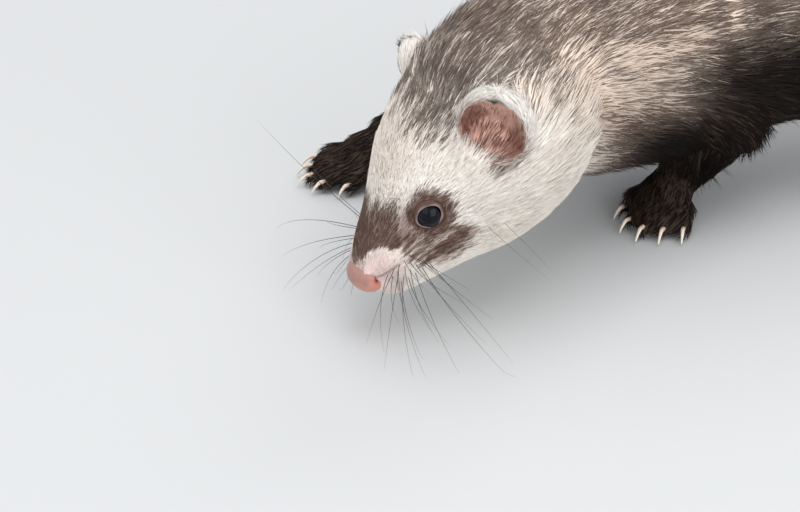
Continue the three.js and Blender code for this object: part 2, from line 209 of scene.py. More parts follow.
@dataclass
class Track:
    """A line along the middle of a limb, the trunk or the head.

    Attributes:
        points: places along the line, in mm.
        upright: the way that counts as up round the line.
        reach: the number of places on the line's smooth path.
        batch: how many points are located at once.
    """

    points: Array
    upright: Array
    reach: int
    batch: int = 20000
    path: Array = field(init=False)
    way: Array = field(init=False)
    up: Array = field(init=False)
    side: Array = field(init=False)
    length: Array = field(init=False)

    def __post_init__(self) -> None:
        """Works out the smooth path and the frame along it."""
        self.path = smooth_path(np.asarray(self.points, float), self.reach)
        self.way = unit(np.gradient(self.path, axis=0))
        up = np.tile(self.upright, (self.reach, 1))
        self.up = unit(up - self.way * np.sum(up * self.way, axis=1, keepdims=True))
        self.side = np.cross(self.up, self.way)
        steps = np.linalg.norm(np.diff(self.path, axis=0), axis=1)
        self.length = np.concatenate([[0.0], np.cumsum(steps)])

    def locate(self, points: Array) -> tuple[Array, Array, Array]:
        """Finds the nearest place on the line to each point.

        Args:
            points: places in mm.

        Returns:
            How far along each is in mm, its angle round the line from -pi to pi, and the line's way there.
        """
        nearest = np.empty(len(points), int)
        for start in range(0, len(points), self.batch):
            part = points[start : start + self.batch]
            gap = ((part[:, None, :] - self.path[None, :, :]) ** 2).sum(axis=2)
            nearest[start : start + self.batch] = gap.argmin(axis=1)
        away = points - self.path[nearest]
        along = np.sum(away * self.way[nearest], axis=1)
        angle = np.arctan2(
            np.sum(away * self.up[nearest], axis=1), np.sum(away * self.side[nearest], axis=1)
        )
        return self.length[nearest] + along, angle, self.way[nearest]


@dataclass(frozen=True)
class HeadFrame:
    """The head's own frame: x along the muzzle, y to the animal's left, z up through the crown.

    Attributes:
        tip: the tip of the nose.
        heading: turn of the muzzle from -X towards -Y, in degrees.
        pitch: how far the muzzle points down, in degrees.
        roll: roll of the head to its left, in degrees.
    """

    tip: tuple[float, float, float] = (0.0, 0.0, 15.0)
    heading: float = 33.0
    pitch: float = 44.0
    roll: float = -5.0

    def axes(self) -> Array:
        """The frame's three axes, from its heading and pitch, then rolled about the way forward.

        Returns:
            Rows: forward, left and up.
        """
        h, p, r = np.radians([self.heading, self.pitch, self.roll])
        forward = np.array([-math.cos(h) * math.cos(p), -math.sin(h) * math.cos(p), -math.sin(p)])
        level = np.array([math.sin(h), -math.cos(h), 0.0])
        crown = np.cross(forward, level)
        left = level * math.cos(r) - crown * math.sin(r)
        return np.array([forward, left, np.cross(forward, left)])

    def out(self, local: Array) -> Array:
        """Moves places from the head's frame to the pose's."""
        return np.asarray(local, float) @ self.axes() + np.array(self.tip)

    def turn(self, local: Array) -> Array:
        """Turns directions from the head's frame to the pose's."""
        return np.asarray(local, float) @ self.axes()

    def into(self, points: Array) -> Array:
        """Moves places from the pose's frame to the head's."""
        return (points - np.array(self.tip)) @ self.axes().T


@dataclass(frozen=True)
class Leg:
    """One leg: the middle of its bones from the trunk to the wrist or heel, and where its paw points.

    Attributes:
        joints: places along the leg, from the shoulder or hip.
        wrist: the wrist or the heel.
        heading: the paw's way in plan, in degrees from +X.
        hind: whether it is a hind leg.
        mirror: 1 on the left, -1 on the right.
    """

    joints: tuple[tuple[float, float, float], ...]
    wrist: tuple[float, float, float]
    heading: float
    hind: bool
    mirror: int


@dataclass(frozen=True)
class PawSize:
    """Sizes of a paw in mm.

    Attributes:
        palm: length of the flat of the foot.
        knuckle: height of the knuckles.
        toe: length of the longest toe.
        radius: radius of a toe.
        fan: turn from one toe to the next, in degrees.
        spacing: width from one toe to the next.
    """

    palm: float
    knuckle: float
    toe: float
    radius: float
    fan: float
    spacing: float


HEAD = HeadFrame()
EYE_LOCAL = np.array([-27.0, 11.9, 4.6])
EYE_FACING = np.array([0.4, 0.88, 0.24])
EYE_RADIUS = 4.3
NOSE_LOCAL = np.array([-4.0, 0.0, -0.6])
NOSE_SIZE = np.array([4.0, 5.5, 4.6])
EAR_ROOT = {1: np.array([-51.0, 23.0, 10.2]), -1: np.array([-51.0, -23.0, 2.0])}
EAR_AXIS = np.array([-0.62, 0.27, 0.74])
EAR_FACING = np.array([0.6, 0.68, 0.4])
EAR_SIZE = np.array([10.4, 11.6, 7.0])
EAR_RISE = 5.2
EAR_REACH = 12.0
CUP_MIDDLE = np.array([0.0, -0.6, EAR_SIZE[2] * 0.5])
CUP_SIZE = EAR_SIZE - [1.2, 1.2, -0.5]
# Middle and size of the painted shade at the opening of each ear's canal, in back and across.
EAR_HOLE, EAR_HOLE_SIZE = (56.0, 12.5), (3.6, 2.8)
NOSTRIL_LOCAL = np.array([-1.0, 5.6, 0.5])
FACE_VIEW = 40.0
LEAST_HEIGHT = 0.12
HEAD_LINE = np.array([[4.0, 0, -2.5], [-25, 0, -3], [-50, 0, -4], [-72, 0, -5]])
SPINE = np.array(
    [
        [33, 21, 60], [44, 36, 60], [57, 53, 56.5], [69, 67, 52], [84, 81, 48.5], [112, 96, 49],
        [150, 108, 52], [195, 116, 57], [236, 119, 55], [265, 117, 49], [288, 113, 43],
        [325, 106, 36], [370, 99, 30], [408, 95, 26], [432, 93, 24],
    ],
    float,
)
LEGS = {
    "fore_left": Leg(
        ((86, 63, 44), (97, 63.5, 38), (106, 64, 31.5), (99, 68, 21), (92, 72, 11)),
        (92, 72, 10), 240, False, 1,
    ),
    "fore_right": Leg(
        ((64, 89, 42), (50, 96, 35), (39, 101, 26.5), (24, 95, 18.5), (9, 91, 11.5)),
        (8.5, 90.5, 10.5), 200, False, -1,
    ),
    "hind_left": Leg(
        ((242, 104, 50), (230, 95, 39), (218, 89, 28.5), (238, 90, 20.5), (257, 91, 11)),
        (257, 91, 10.5), 183, True, 1,
    ),
    "hind_right": Leg(
        ((246, 134, 50), (238, 143, 39), (228, 149, 28.5), (248, 150, 20.5), (267, 150, 11)),
        (267, 150, 10.5), 176, True, -1,
    ),
}
FORE_PAW = PawSize(palm=13, knuckle=5.8, toe=9.4, radius=3.05, fan=10, spacing=3.6)
HIND_PAW = PawSize(palm=33, knuckle=5.8, toe=10.6, radius=3.25, fan=8, spacing=4.0)
TOE_SHARES = (0.62, 0.92, 1.0, 0.97, 0.8)


class Zone(Enum):
    """Where on the animal a piece of coat grows."""

    HEAD = 0
    TRUNK = 1
    TAIL = 2
    FORE_LEFT = 3
    FORE_RIGHT = 4
    HIND_LEFT = 5
    HIND_RIGHT = 6
    EAR_LEFT = 7
    EAR_RIGHT = 8


LEG_ZONES = {
    Zone.FORE_LEFT: "fore_left",
    Zone.FORE_RIGHT: "fore_right",
    Zone.HIND_LEFT: "hind_left",
    Zone.HIND_RIGHT: "hind_right",
}
EAR_ZONES = {Zone.EAR_LEFT: 1, Zone.EAR_RIGHT: -1}
DARK_ZONES = (Zone.TAIL, *LEG_ZONES)
UNWRAP = {
    Zone.HEAD: (0.02, 0.50, 0.28, 0.46),
    Zone.TRUNK: (0.02, 0.02, 0.96, 0.44),
    Zone.TAIL: (0.02, 0.02, 0.96, 0.44),
    **{zone: (0.32 + 0.11 * k, 0.50, 0.10, 0.46) for k, zone in enumerate((*LEG_ZONES, *EAR_ZONES))},
}
TUFT_FACES = np.array(
    [
        [2, 1, 0], [0, 1, 4], [0, 4, 3], [1, 2, 5], [1, 5, 4],
        [2, 0, 3], [2, 3, 5], [3, 4, 6], [4, 5, 6], [5, 3, 6],
    ]
)
TUFT_SPOTS = np.array([[0, 0], [1, 0], [0.5, 1], [0, 0.4], [1, 0.4], [0.5, 1], [0.5, 0.5]]) * 0.003 - 0.0015


def zone_of(node: str) -> Zone:
    """Says which zone a CAD node is in.

    Args:
        node: the node's name.

    Returns:
        Its zone.
    """
    for zone, leg in LEG_ZONES.items():
        if node.endswith(leg):
            return zone
    if node.startswith("ear"):
        return Zone.EAR_LEFT if node.endswith("left") else Zone.EAR_RIGHT
    return {"head": Zone.HEAD, "tail": Zone.TAIL}.get(node, Zone.TRUNK)


def ear_axes(side: int) -> tuple[Array, Array]:
    """The middle and the frame of one ear.

    Args:
        side: 1 for the left, -1 for the right.

    Returns:
        The middle, and rows across, along and out of the cup, in the pose's frame.
    """
    mirror = np.array([1.0, side, 1.0])
    axis = unit(HEAD.turn(EAR_AXIS * mirror))
    facing = HEAD.turn(EAR_FACING * mirror)
    out = unit(facing - axis * (facing @ axis))
    return HEAD.out(EAR_ROOT[side]) + axis * EAR_RISE, np.array([np.cross(axis, out), axis, out])


def view_of_face(points: Array) -> tuple[Array, Array]:
    """Where places are on the side of the head, as seen from its upper side.

    Args:
        points: places in mm.

    Returns:
        How far behind the nose each is, and how far from the crown towards the jaw.
    """
    local = HEAD.into(points)
    turn = math.radians(FACE_VIEW)
    return -local[:, 0], math.cos(turn) * -local[:, 2] + math.sin(turn) * np.abs(local[:, 1])


def in_cup(points: Array, side: int) -> Array:
    """How far inside the hollow of one ear places are, where the hollow is an ellipsoid.

    Args:
        points: places in mm.
        side: 1 for the left ear, -1 for the right.

    Returns:
        1 inside the cup, 0 outside.
    """
    middle, axes = ear_axes(side)
    hollow = ((points - middle) @ axes.T - CUP_MIDDLE) / CUP_SIZE
    return ramp(np.linalg.norm(hollow, axis=1), 1.04, 0.97)


def leg_track(leg: Leg) -> Track:
    """The line down a leg and out along its paw.

    Args:
        leg: the leg.

    Returns:
        Its track, to the tips of its toes.
    """
    paw = HIND_PAW if leg.hind else FORE_PAW
    way = level_way(leg.heading)
    wrist = np.array(leg.wrist, float)
    knuckle = wrist + way * paw.palm
    knuckle[2] = paw.knuckle
    tip = knuckle + way * (paw.toe + 2)
    tip[2] = 3.0
    return Track(np.array([*leg.joints, (wrist + knuckle) / 2, knuckle, tip]), np.array([0, 0, 1.0]), 90)


@dataclass
class Body:
    """Where everything is.

    Attributes:
        shift: the way from the pose's frame to the part's, in mm.
        tracks: the line along each zone.
    """

    shift: Array
    tracks: dict[Zone, Track] = field(default_factory=dict)

    def __post_init__(self) -> None:
        """Lays out a track for each zone."""
        self.tracks[Zone.HEAD] = Track(HEAD.out(HEAD_LINE), HEAD.axes()[2], 80)
        spine = Track(SPINE, np.array([0, 0, 1.0]), 260)
        self.tracks[Zone.TRUNK] = spine
        self.tracks[Zone.TAIL] = spine
        for zone, name in LEG_ZONES.items():
            self.tracks[zone] = leg_track(LEGS[name])
        for zone, side in EAR_ZONES.items():
            middle, axes = ear_axes(side)
            ends = np.array([middle - axes[1] * EAR_REACH, middle, middle + axes[1] * EAR_REACH])
            self.tracks[zone] = Track(ends, axes[2], 40)

    def metres(self, points: Array) -> Array:
        """Moves places into the part's frame."""
        return (points + self.shift) * MM

    def pose(self, points: Array) -> Array:
        """Moves places from the part's frame."""
        return points / MM - self.shift


def make_mesh(name: str, points: Array, faces: Array, tints: Array | None = None,
              uvs: Array | None = None, normals: Array | None = None,
              smooth: bool = True) -> bpy.types.Object:
    """Makes an object from arrays.

    Args:
        name: the piece's name.
        points: places in metres.
        faces: rows of three or four indices.
        tints: a linear colour for each vertex.
        uvs: a place on the unwrap for each vertex.
        normals: the normal that each vertex is shaded with.
        smooth: whether faces are shaded smooth.

    Returns:
        The object, in the scene.
    """
    sides = faces.shape[1]
    mesh = bpy.data.meshes.new(name)
    mesh.vertices.add(len(points))
    mesh.vertices.foreach_set("co", np.ascontiguousarray(points, np.float32).ravel())
    mesh.loops.add(faces.size)
    mesh.loops.foreach_set("vertex_index", np.ascontiguousarray(faces, np.int32).ravel())
    mesh.polygons.add(len(faces))
    mesh.polygons.foreach_set("loop_start", np.arange(0, faces.size, sides, dtype=np.int32))
    mesh.polygons.foreach_set("use_smooth", np.full(len(faces), smooth))
    if tints is not None:
        layer = mesh.color_attributes.new("Tint", "FLOAT_COLOR", "POINT")
        rgba = np.concatenate([tints, np.ones((len(tints), 1))], axis=1).astype(np.float32)
        layer.data.foreach_set("color", rgba.ravel())
    if uvs is not None:
        layer = mesh.uv_layers.new(name="OFBake")
        layer.data.foreach_set("uv", uvs[faces.ravel()].astype(np.float32).ravel())
    mesh.update(calc_edges=True)
    mesh.validate()
    if normals is not None:
        mesh.normals_split_custom_set_from_vertices(normals.astype(np.float32))
    piece = bpy.data.objects.new(name, mesh)
    bpy.context.scene.collection.objects.link(piece)
    return piece


@dataclass(frozen=True)
class Finish:
    """How a surface takes the light.

    Attributes:
        name: the material's name.
        roughness: from 0, polished, to 1.
        specular: strength of the plain reflection.
        grain: width of the bump's grain in mm.
        bump: height of the bump in mm.
        relief: share of the bump that shows.
        mottle: width of a mottle for the grain's.
        detail: how many times the mottle is made finer.
        light: share of the tint in the darkest and in the lightest mottle.
    """

    name: str
    roughness: float
    specular: float
    grain: float
    bump: float = 0.0
    relief: float = 0.7
    mottle: float = 3.0
    detail: float = 3.0
    light: tuple[float, float] = (0.88, 1.12)

    def material(self) -> bpy.types.Material:
        """Makes the material, coloured by the piece's own tint.

        Returns:
            The material.
        """
        material = bpy.data.materials.new(self.name)
        material.use_nodes = True
        tree = material.node_tree
        shader = tree.nodes["Principled BSDF"]
        shader.inputs["Roughness"].default_value = self.roughness
        shader.inputs["Specular IOR Level"].default_value = self.specular
        tint = tree.nodes.new("ShaderNodeAttribute")
        tint.attribute_name = "Tint"
        coords = tree.nodes.new("ShaderNodeTexCoord")
        mottle = tree.nodes.new("ShaderNodeTexNoise")
        mottle.inputs["Scale"].default_value = 1.0 / (self.grain * self.mottle * MM)
        mottle.inputs["Detail"].default_value = self.detail
        tree.links.new(coords.outputs["Object"], mottle.inputs["Vector"])
        levels = tree.nodes.new("ShaderNodeMapRange")
        levels.inputs["To Min"].default_value = self.light[0]
        levels.inputs["To Max"].default_value = self.light[1]
        tree.links.new(mottle.outputs["Fac"], levels.inputs["Value"])
        mix = tree.nodes.new("ShaderNodeMix")
        mix.data_type = "RGBA"
        mix.blend_type = "MULTIPLY"
        mix.inputs["Factor"].default_value = 1.0
        tree.links.new(tint.outputs["Color"], mix.inputs["A"])
        tree.links.new(levels.outputs["Result"], mix.inputs["B"])
        tree.links.new(mix.outputs["Result"], shader.inputs["Base Color"])
        if self.bump:
            grain = tree.nodes.new("ShaderNodeTexVoronoi")
            grain.inputs["Scale"].default_value = 1.0 / (self.grain * MM)
            tree.links.new(coords.outputs["Object"], grain.inputs["Vector"])
            bump = tree.nodes.new("ShaderNodeBump")
            bump.inputs["Distance"].default_value = self.bump * MM
            bump.inputs["Strength"].default_value = self.relief
            tree.links.new(grain.outputs["Distance"], bump.inputs["Height"])
            tree.links.new(bump.outputs["Normal"], shader.inputs["Normal"])
        return material


SKIN = Finish("skin", roughness=0.62, specular=0.25, bump=0.12, grain=0.7)
FUR = Finish("fur", roughness=0.55, specular=0.06, grain=2.0)
EYE = Finish("eye_gloss", roughness=0.1, specular=0.16, grain=2.0)
LID = Finish("lid_skin", roughness=0.35, specular=0.4, bump=0.05, grain=0.4)
NOSE = Finish("nose_skin", roughness=0.42, specular=0.4, bump=0.1, grain=0.5)
CLAW = Finish("claw_horn", roughness=0.3, specular=0.45, bump=0.02, grain=0.6)
WHISKER = Finish("whisker_hair", roughness=0.4, specular=0.3, grain=3.0)


def finish_piece(piece: bpy.types.Object, material: bpy.types.Material, slot: str) -> None:
    """Gives a piece its material and body, and reports it with its slot.

    Args:
        piece: the piece.
        material: its material.
        slot: the name of the record's slot for the piece, which is only reported.
    """
    piece.data.materials.append(material)
    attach(piece, "root")
    LOG.info("%s: %d faces, slot %s", piece.name, len(piece.data.polygons), slot)


@dataclass
class Coat:
    """What the coat is like at each of many places.

    Attributes:
        under: colour at the root.
        tip: colour at the tip.
        dark: share of dark guard hairs.
        dark_tip: colour of the dark guard hairs.
        length: length of the hair in mm.
        depth: how deep the coat is in mm.
        width: width of a tuft at its root in mm.
        density: tufts for each square mm.
    """

    under: Array
    tip: Array
    dark: Array
    dark_tip: Array
    length: Array
    depth: Array
    width: Array
    density: Array

    PLAIN = {"length": 10.0, "depth": 3.0, "width": 0.8, "density": 1.0}

    @classmethod
    def blank(cls, count: int) -> Coat:
        """An even beige coat without dark hairs.

        Args:
            count: how many places.

        Returns:
            The coat.
        """
        under, tip, dark_tip = (
            np.tile(tint, (count, 1)) for tint in (Palette.BEIGE, Palette.BEIGE, Palette.TIP)
        )
        even = {key: np.full(count, value) for key, value in cls.PLAIN.items()}
        return cls(under, tip, np.zeros(count), dark_tip, **even)

    def put(self, here: Array, other: Coat) -> None:
        """Sets the coat at some places."""
        for key, values in vars(other).items():
            vars(self)[key][here] = values

    def mixed(self, other: Coat, share: Array) -> Coat:
        """Mixes two coats.

        Args:
            other: the coat where the share is 1.
            share: one share for each place.

        Returns:
            The mixed coat.
        """
        fields = {}
        for key, values in vars(self).items():
            part = share[:, None] if values.ndim == 2 else share
            fields[key] = values * (1 - part) + vars(other)[key] * part
        return Coat(**fields)


def streaks(place: Array, round_it: Array, width: float, seed: int) -> Array:
    """Noise drawn out along the lie of the coat, five times as long as it is wide."""
    return noise(np.stack([place * 0.2, round_it, round_it * 0], axis=1), width, seed)


def ear_canal_shade(back: Array, across: Array) -> Array:
    """Painted shade at the opening of the canal at the bottom of an ear, fading as e to the minus its
    distance squared.
    """
    away = ((back - EAR_HOLE[0]) / EAR_HOLE_SIZE[0]) ** 2
    return np.exp(-away - ((across - EAR_HOLE[1]) / EAR_HOLE_SIZE[1]) ** 2)


class Face:
    """The head's markings, and the painted shade in the fold of the mouth, each as a share from 0 to 1 for
    every place.

    A place is known by back, its distance behind the nose, by angle, its turn round the head from the crown
    at 0 to the chin at 180 degrees, and by across, its distance from the crown towards the jaw. Noise moves
    every edge, so that the markings look grown. The limits of a ramp are in mm for back and across, and in
    degrees for angle.

    Attributes:
        back, side, up: where each place is from the nose, in mm.
        angle, across: its turn and its distance from the crown.
        rough, streak: the noise at it, round and drawn out.
        eye, pad: its distance from the eye in mm, and from the nose pad in sizes of the pad.
        wobble, turned: back and angle with noise in them.
    """

    BRIDGE_ACROSS = (-3.8, -1.9, -1.3, -0.4, 2.1, 3.1)
    BRIDGE_FRONT = (3.7, 6.9, 10.0, 11.2, 13.0, 13.8)
    NOTCH, NOTCH_SIZE = (24.5, 42.0), (3.0, 8.0)
    EAR_FRONT, EAR_FRONT_SIZE = (52.0, 47.0), (5.0, 8.0)
    EAR_FOOT, EAR_FOOT_SIZE = (45.5, 80.0), (4.5, 9.0)
    RING = (7.2, 5.7)
    LIP_ANGLE, LIP_WIDTH = 85.0, 2.6

    def __init__(self, points: Array) -> None:
        """Works out where each place is on the head.

        Args:
            points: places in mm.
        """
        local = HEAD.into(points)
        self.back, self.side, self.up = -local[:, 0], np.abs(local[:, 1]), local[:, 2]
        self.angle = np.degrees(np.arctan2(self.side, self.up))
        self.across = view_of_face(points)[1]
        self.rough = noise(points, 3.0, 5)
        round_it = np.radians(self.angle) * 24 * np.sign(local[:, 1])
        self.streak = streaks(self.back, round_it, 1.5, 19)
        folded = np.stack([local[:, 0], self.side, self.up], axis=1)
        self.eye = np.linalg.norm(folded - EYE_LOCAL, axis=1)
        self.pad = np.linalg.norm((folded - NOSE_LOCAL) / NOSE_SIZE, axis=1)
        self.wobble = self.back + 1.0 * self.rough + 1.6 * self.streak
        self.turned = self.angle + 4 * self.rough

    def _spot(self, middle: tuple[float, float], size: tuple[float, float]) -> Array:
        """Distance from a spot given by its back and angle, in sizes of the spot."""
        return np.hypot((self.back - middle[0]) / size[0], (self.angle - middle[1]) / size[1])

    def _notch(self) -> Array:
        """The pale gap over the inner corner of the eye."""
        return np.exp(-(self._spot(self.NOTCH, self.NOTCH_SIZE) ** 2))

    def _bridge(self) -> Array:
        """The dark bridge of the nose: behind its front edge, before the brow and above its side edge.

        Returns:
            Shares from 0 to 1.
        """
        front = np.interp(self.across, self.BRIDGE_ACROSS, self.BRIDGE_FRONT)
        lower = self.across + 0.76 * self.back + 0.4 * self.rough
        return (
            ramp(self.back + 0.6 * self.rough + 0.8 * self.streak - front, -0.8, 0.8)
            * ramp(self.wobble - 0.1 * self.angle, 21.5, 15.5) * ramp(lower, 15.0, 13.7)
        )

    def _strip(self) -> Array:
        """The ashen strip from the corner of the eye down the side of the bridge."""
        past = self.angle - 65 + 3.2 * np.maximum(self.back - 14.6, 0)
        return ramp(past, -3, 3) * ramp(past, 27, 14) * ramp(self.back, 13, 16) * ramp(self.back, 27, 23)

    def _ring(self) -> Array:
        """The dark ring round the eye, broken by the notch."""
        edge = self.eye + 0.6 * self.rough + 0.5 * self.streak
        return ramp(edge, *self.RING) * (1 - 0.9 * self._notch())

    def _cheek(self) -> Array:
        """The streaked dark patch below and behind the eye, down to the jaw.

        Returns:
            Shares from 0 to 1.
        """
        near = 12.2 + 1.28 * np.maximum(5.8 - self.across, 0)
        near = near + 0.5 * np.maximum(self.across - 6.5, 0) + 0.9 * np.maximum(self.across - 13.5, 0)
        far = 30 - 0.28 * np.maximum(self.angle - 107, 0)
        top = self.turned - 4 * np.maximum(self.back - 19, 0)
        patch = (
            ramp(self.wobble - near, -1, 2) * ramp(self.wobble - far, 1.5, -3)
            * ramp(top, 60, 67) * ramp(self.turned, 140, 124)
        )
        return patch * np.clip(0.88 + 0.6 * self.streak, 0.42, 1)

    def _dust(self) -> Array:
        """A dusting of dark hair just over the nose pad."""
        return ramp(self.back, 1.0, 3.0) * ramp(self.back, 8, 5) * ramp(self.turned, 50, 36)

    def _crown(self) -> Array:
        """The grizzled crown, which widens towards the nape and runs down behind the ears."""
        spread = 50 + 0.9 * np.maximum(self.back - 46, 0)
        start = ramp(self.back + 3 * self.rough + 3 * self.streak, 36, 47)
        crown = start * ramp(self.angle + 5 * self.rough, spread, 28)
        return np.clip(crown + ramp(self.back, 58, 70) * ramp(self.angle, 112, 80), 0, 1)

    def _patch(self) -> Array:
        """The brown hair in front of the ear and below it."""
        front = ramp(self._spot(self.EAR_FRONT, self.EAR_FRONT_SIZE), 1.3, 0.6)
        below = ramp(self._spot(self.EAR_FOOT, self.EAR_FOOT_SIZE), 1.3, 0.5)
        return np.clip(0.95 * front + 0.8 * below, 0, 1)

    def _mouth_fold_shade(self) -> Array:
        """Painted shade in the fold of the mouth, a thin dark line that runs back and down from under the
        nose.
        """
        off = (self.angle - self.LIP_ANGLE - 0.6 * (self.back - 4)) / self.LIP_WIDTH
        return np.exp(-(off**2)) * ramp(self.back, 2.5, 4) * ramp(self.back, 13.5, 9)

    def _base(self, pink: Array, cheek: Array) -> Array:
        """The pale colour under the markings.

        Args:
            pink: share of bare pink skin.
            cheek: share of the cheek's patch.

        Returns:
            A colour for each place.
        """
        back, angle = self.back, self.angle
        pale = np.clip(0.3 + 0.3 * self.rough + ramp(back, 30, 62) * 0.3, 0, 1)
        base = blend(Palette.WHITE, Palette.CREAM, pale)
        base = blend(base, Palette.BEIGE, 0.3 * ramp(angle, 42, 12) * ramp(back, 20, 30))
        base = blend(base, Palette.THROAT, ramp(angle, 96, 128) * ramp(back, 16, 30))
        base = blend(base, Palette.BLUSH, np.clip(0.75 * pink + 0.4 * ramp(back, 12, 4), 0, 1))
        base = blend(base, Palette.ASH, np.clip(0.9 * self._strip() * (1 - self._notch()), 0, 1))
        return blend(base, Palette.BEIGE, 0.6 * cheek)

    def coat(self) -> Coat:
        """Lays the markings and the painted shade of the mouth's fold over each other, and shortens the hair
        towards the nose and the eyes.

        Returns:
            The head's coat.
        """
        back = self.back
        notch, bridge, ring, cheek = self._notch(), self._bridge(), self._ring(), self._cheek()
        crown, patch, fold_shade = self._crown(), self._patch(), self._mouth_fold_shade()
        mask = np.clip(bridge * (1 - 0.95 * notch) + ring + cheek + 0.45 * self._dust(), 0, 1)
        muzzle = bridge * (1 - notch) * ramp(back, 21, 12)
        pink = ramp(back, 15, 9) * ramp(self.angle, 36, 50) * ramp(self.angle, 110, 92)
        base = self._base(pink, cheek)
        coat = Coat.blank(len(back))
        under = blend(base, Palette.MASK, 0.88 * mask)
        under = blend(under, Palette.MASK_TIP, 0.2 * muzzle)
        under = blend(under, Palette.MASK, 0.5 * patch)
        under = blend(under, Palette.MASK_TIP, 0.7 * ramp(self.eye, 6.6, 5.6))
        # The fold of the mouth is darkened with painted shade, here and in the tips below.
        under = blend(under, Palette.MASK, 0.8 * fold_shade)
        coat.under = blend(under, Palette.TAUPE, 0.25 * crown)
        tipped = np.clip(0.72 * mask + 0.5 * patch + 0.4 * fold_shade, 0, 1)
        coat.tip = blend(base, Palette.MASK_TIP, tipped)
        dark = 0.003 + 0.6 * mask + 0.22 * muzzle + crown * (0.74 + 0.5 * self.streak) + 0.45 * patch
        coat.dark = np.clip(dark, 0, 0.88) * (1 - 0.9 * pink * (1 - mask))
        coat.dark_tip = blend(Palette.MASK_TIP, Palette.TIP, crown)
        size = ramp(back, 8, 62)
        trim = 1 - 0.6 * ramp(self.pad, 1.7, 1.15)
        lash = 1 - 0.45 * ramp(self.eye, 7.2, 5.2)
        coat.length = (1.8 + 6.6 * size - 0.7 * ring * size) * trim * lash
        coat.depth = (0.4 + 1.6 * size - 0.15 * ring) * trim * lash
        coat.width = 0.22 + 0.24 * size
        coat.density = 9.0 - 5.4 * ramp(back, 14, 60)
        return coat


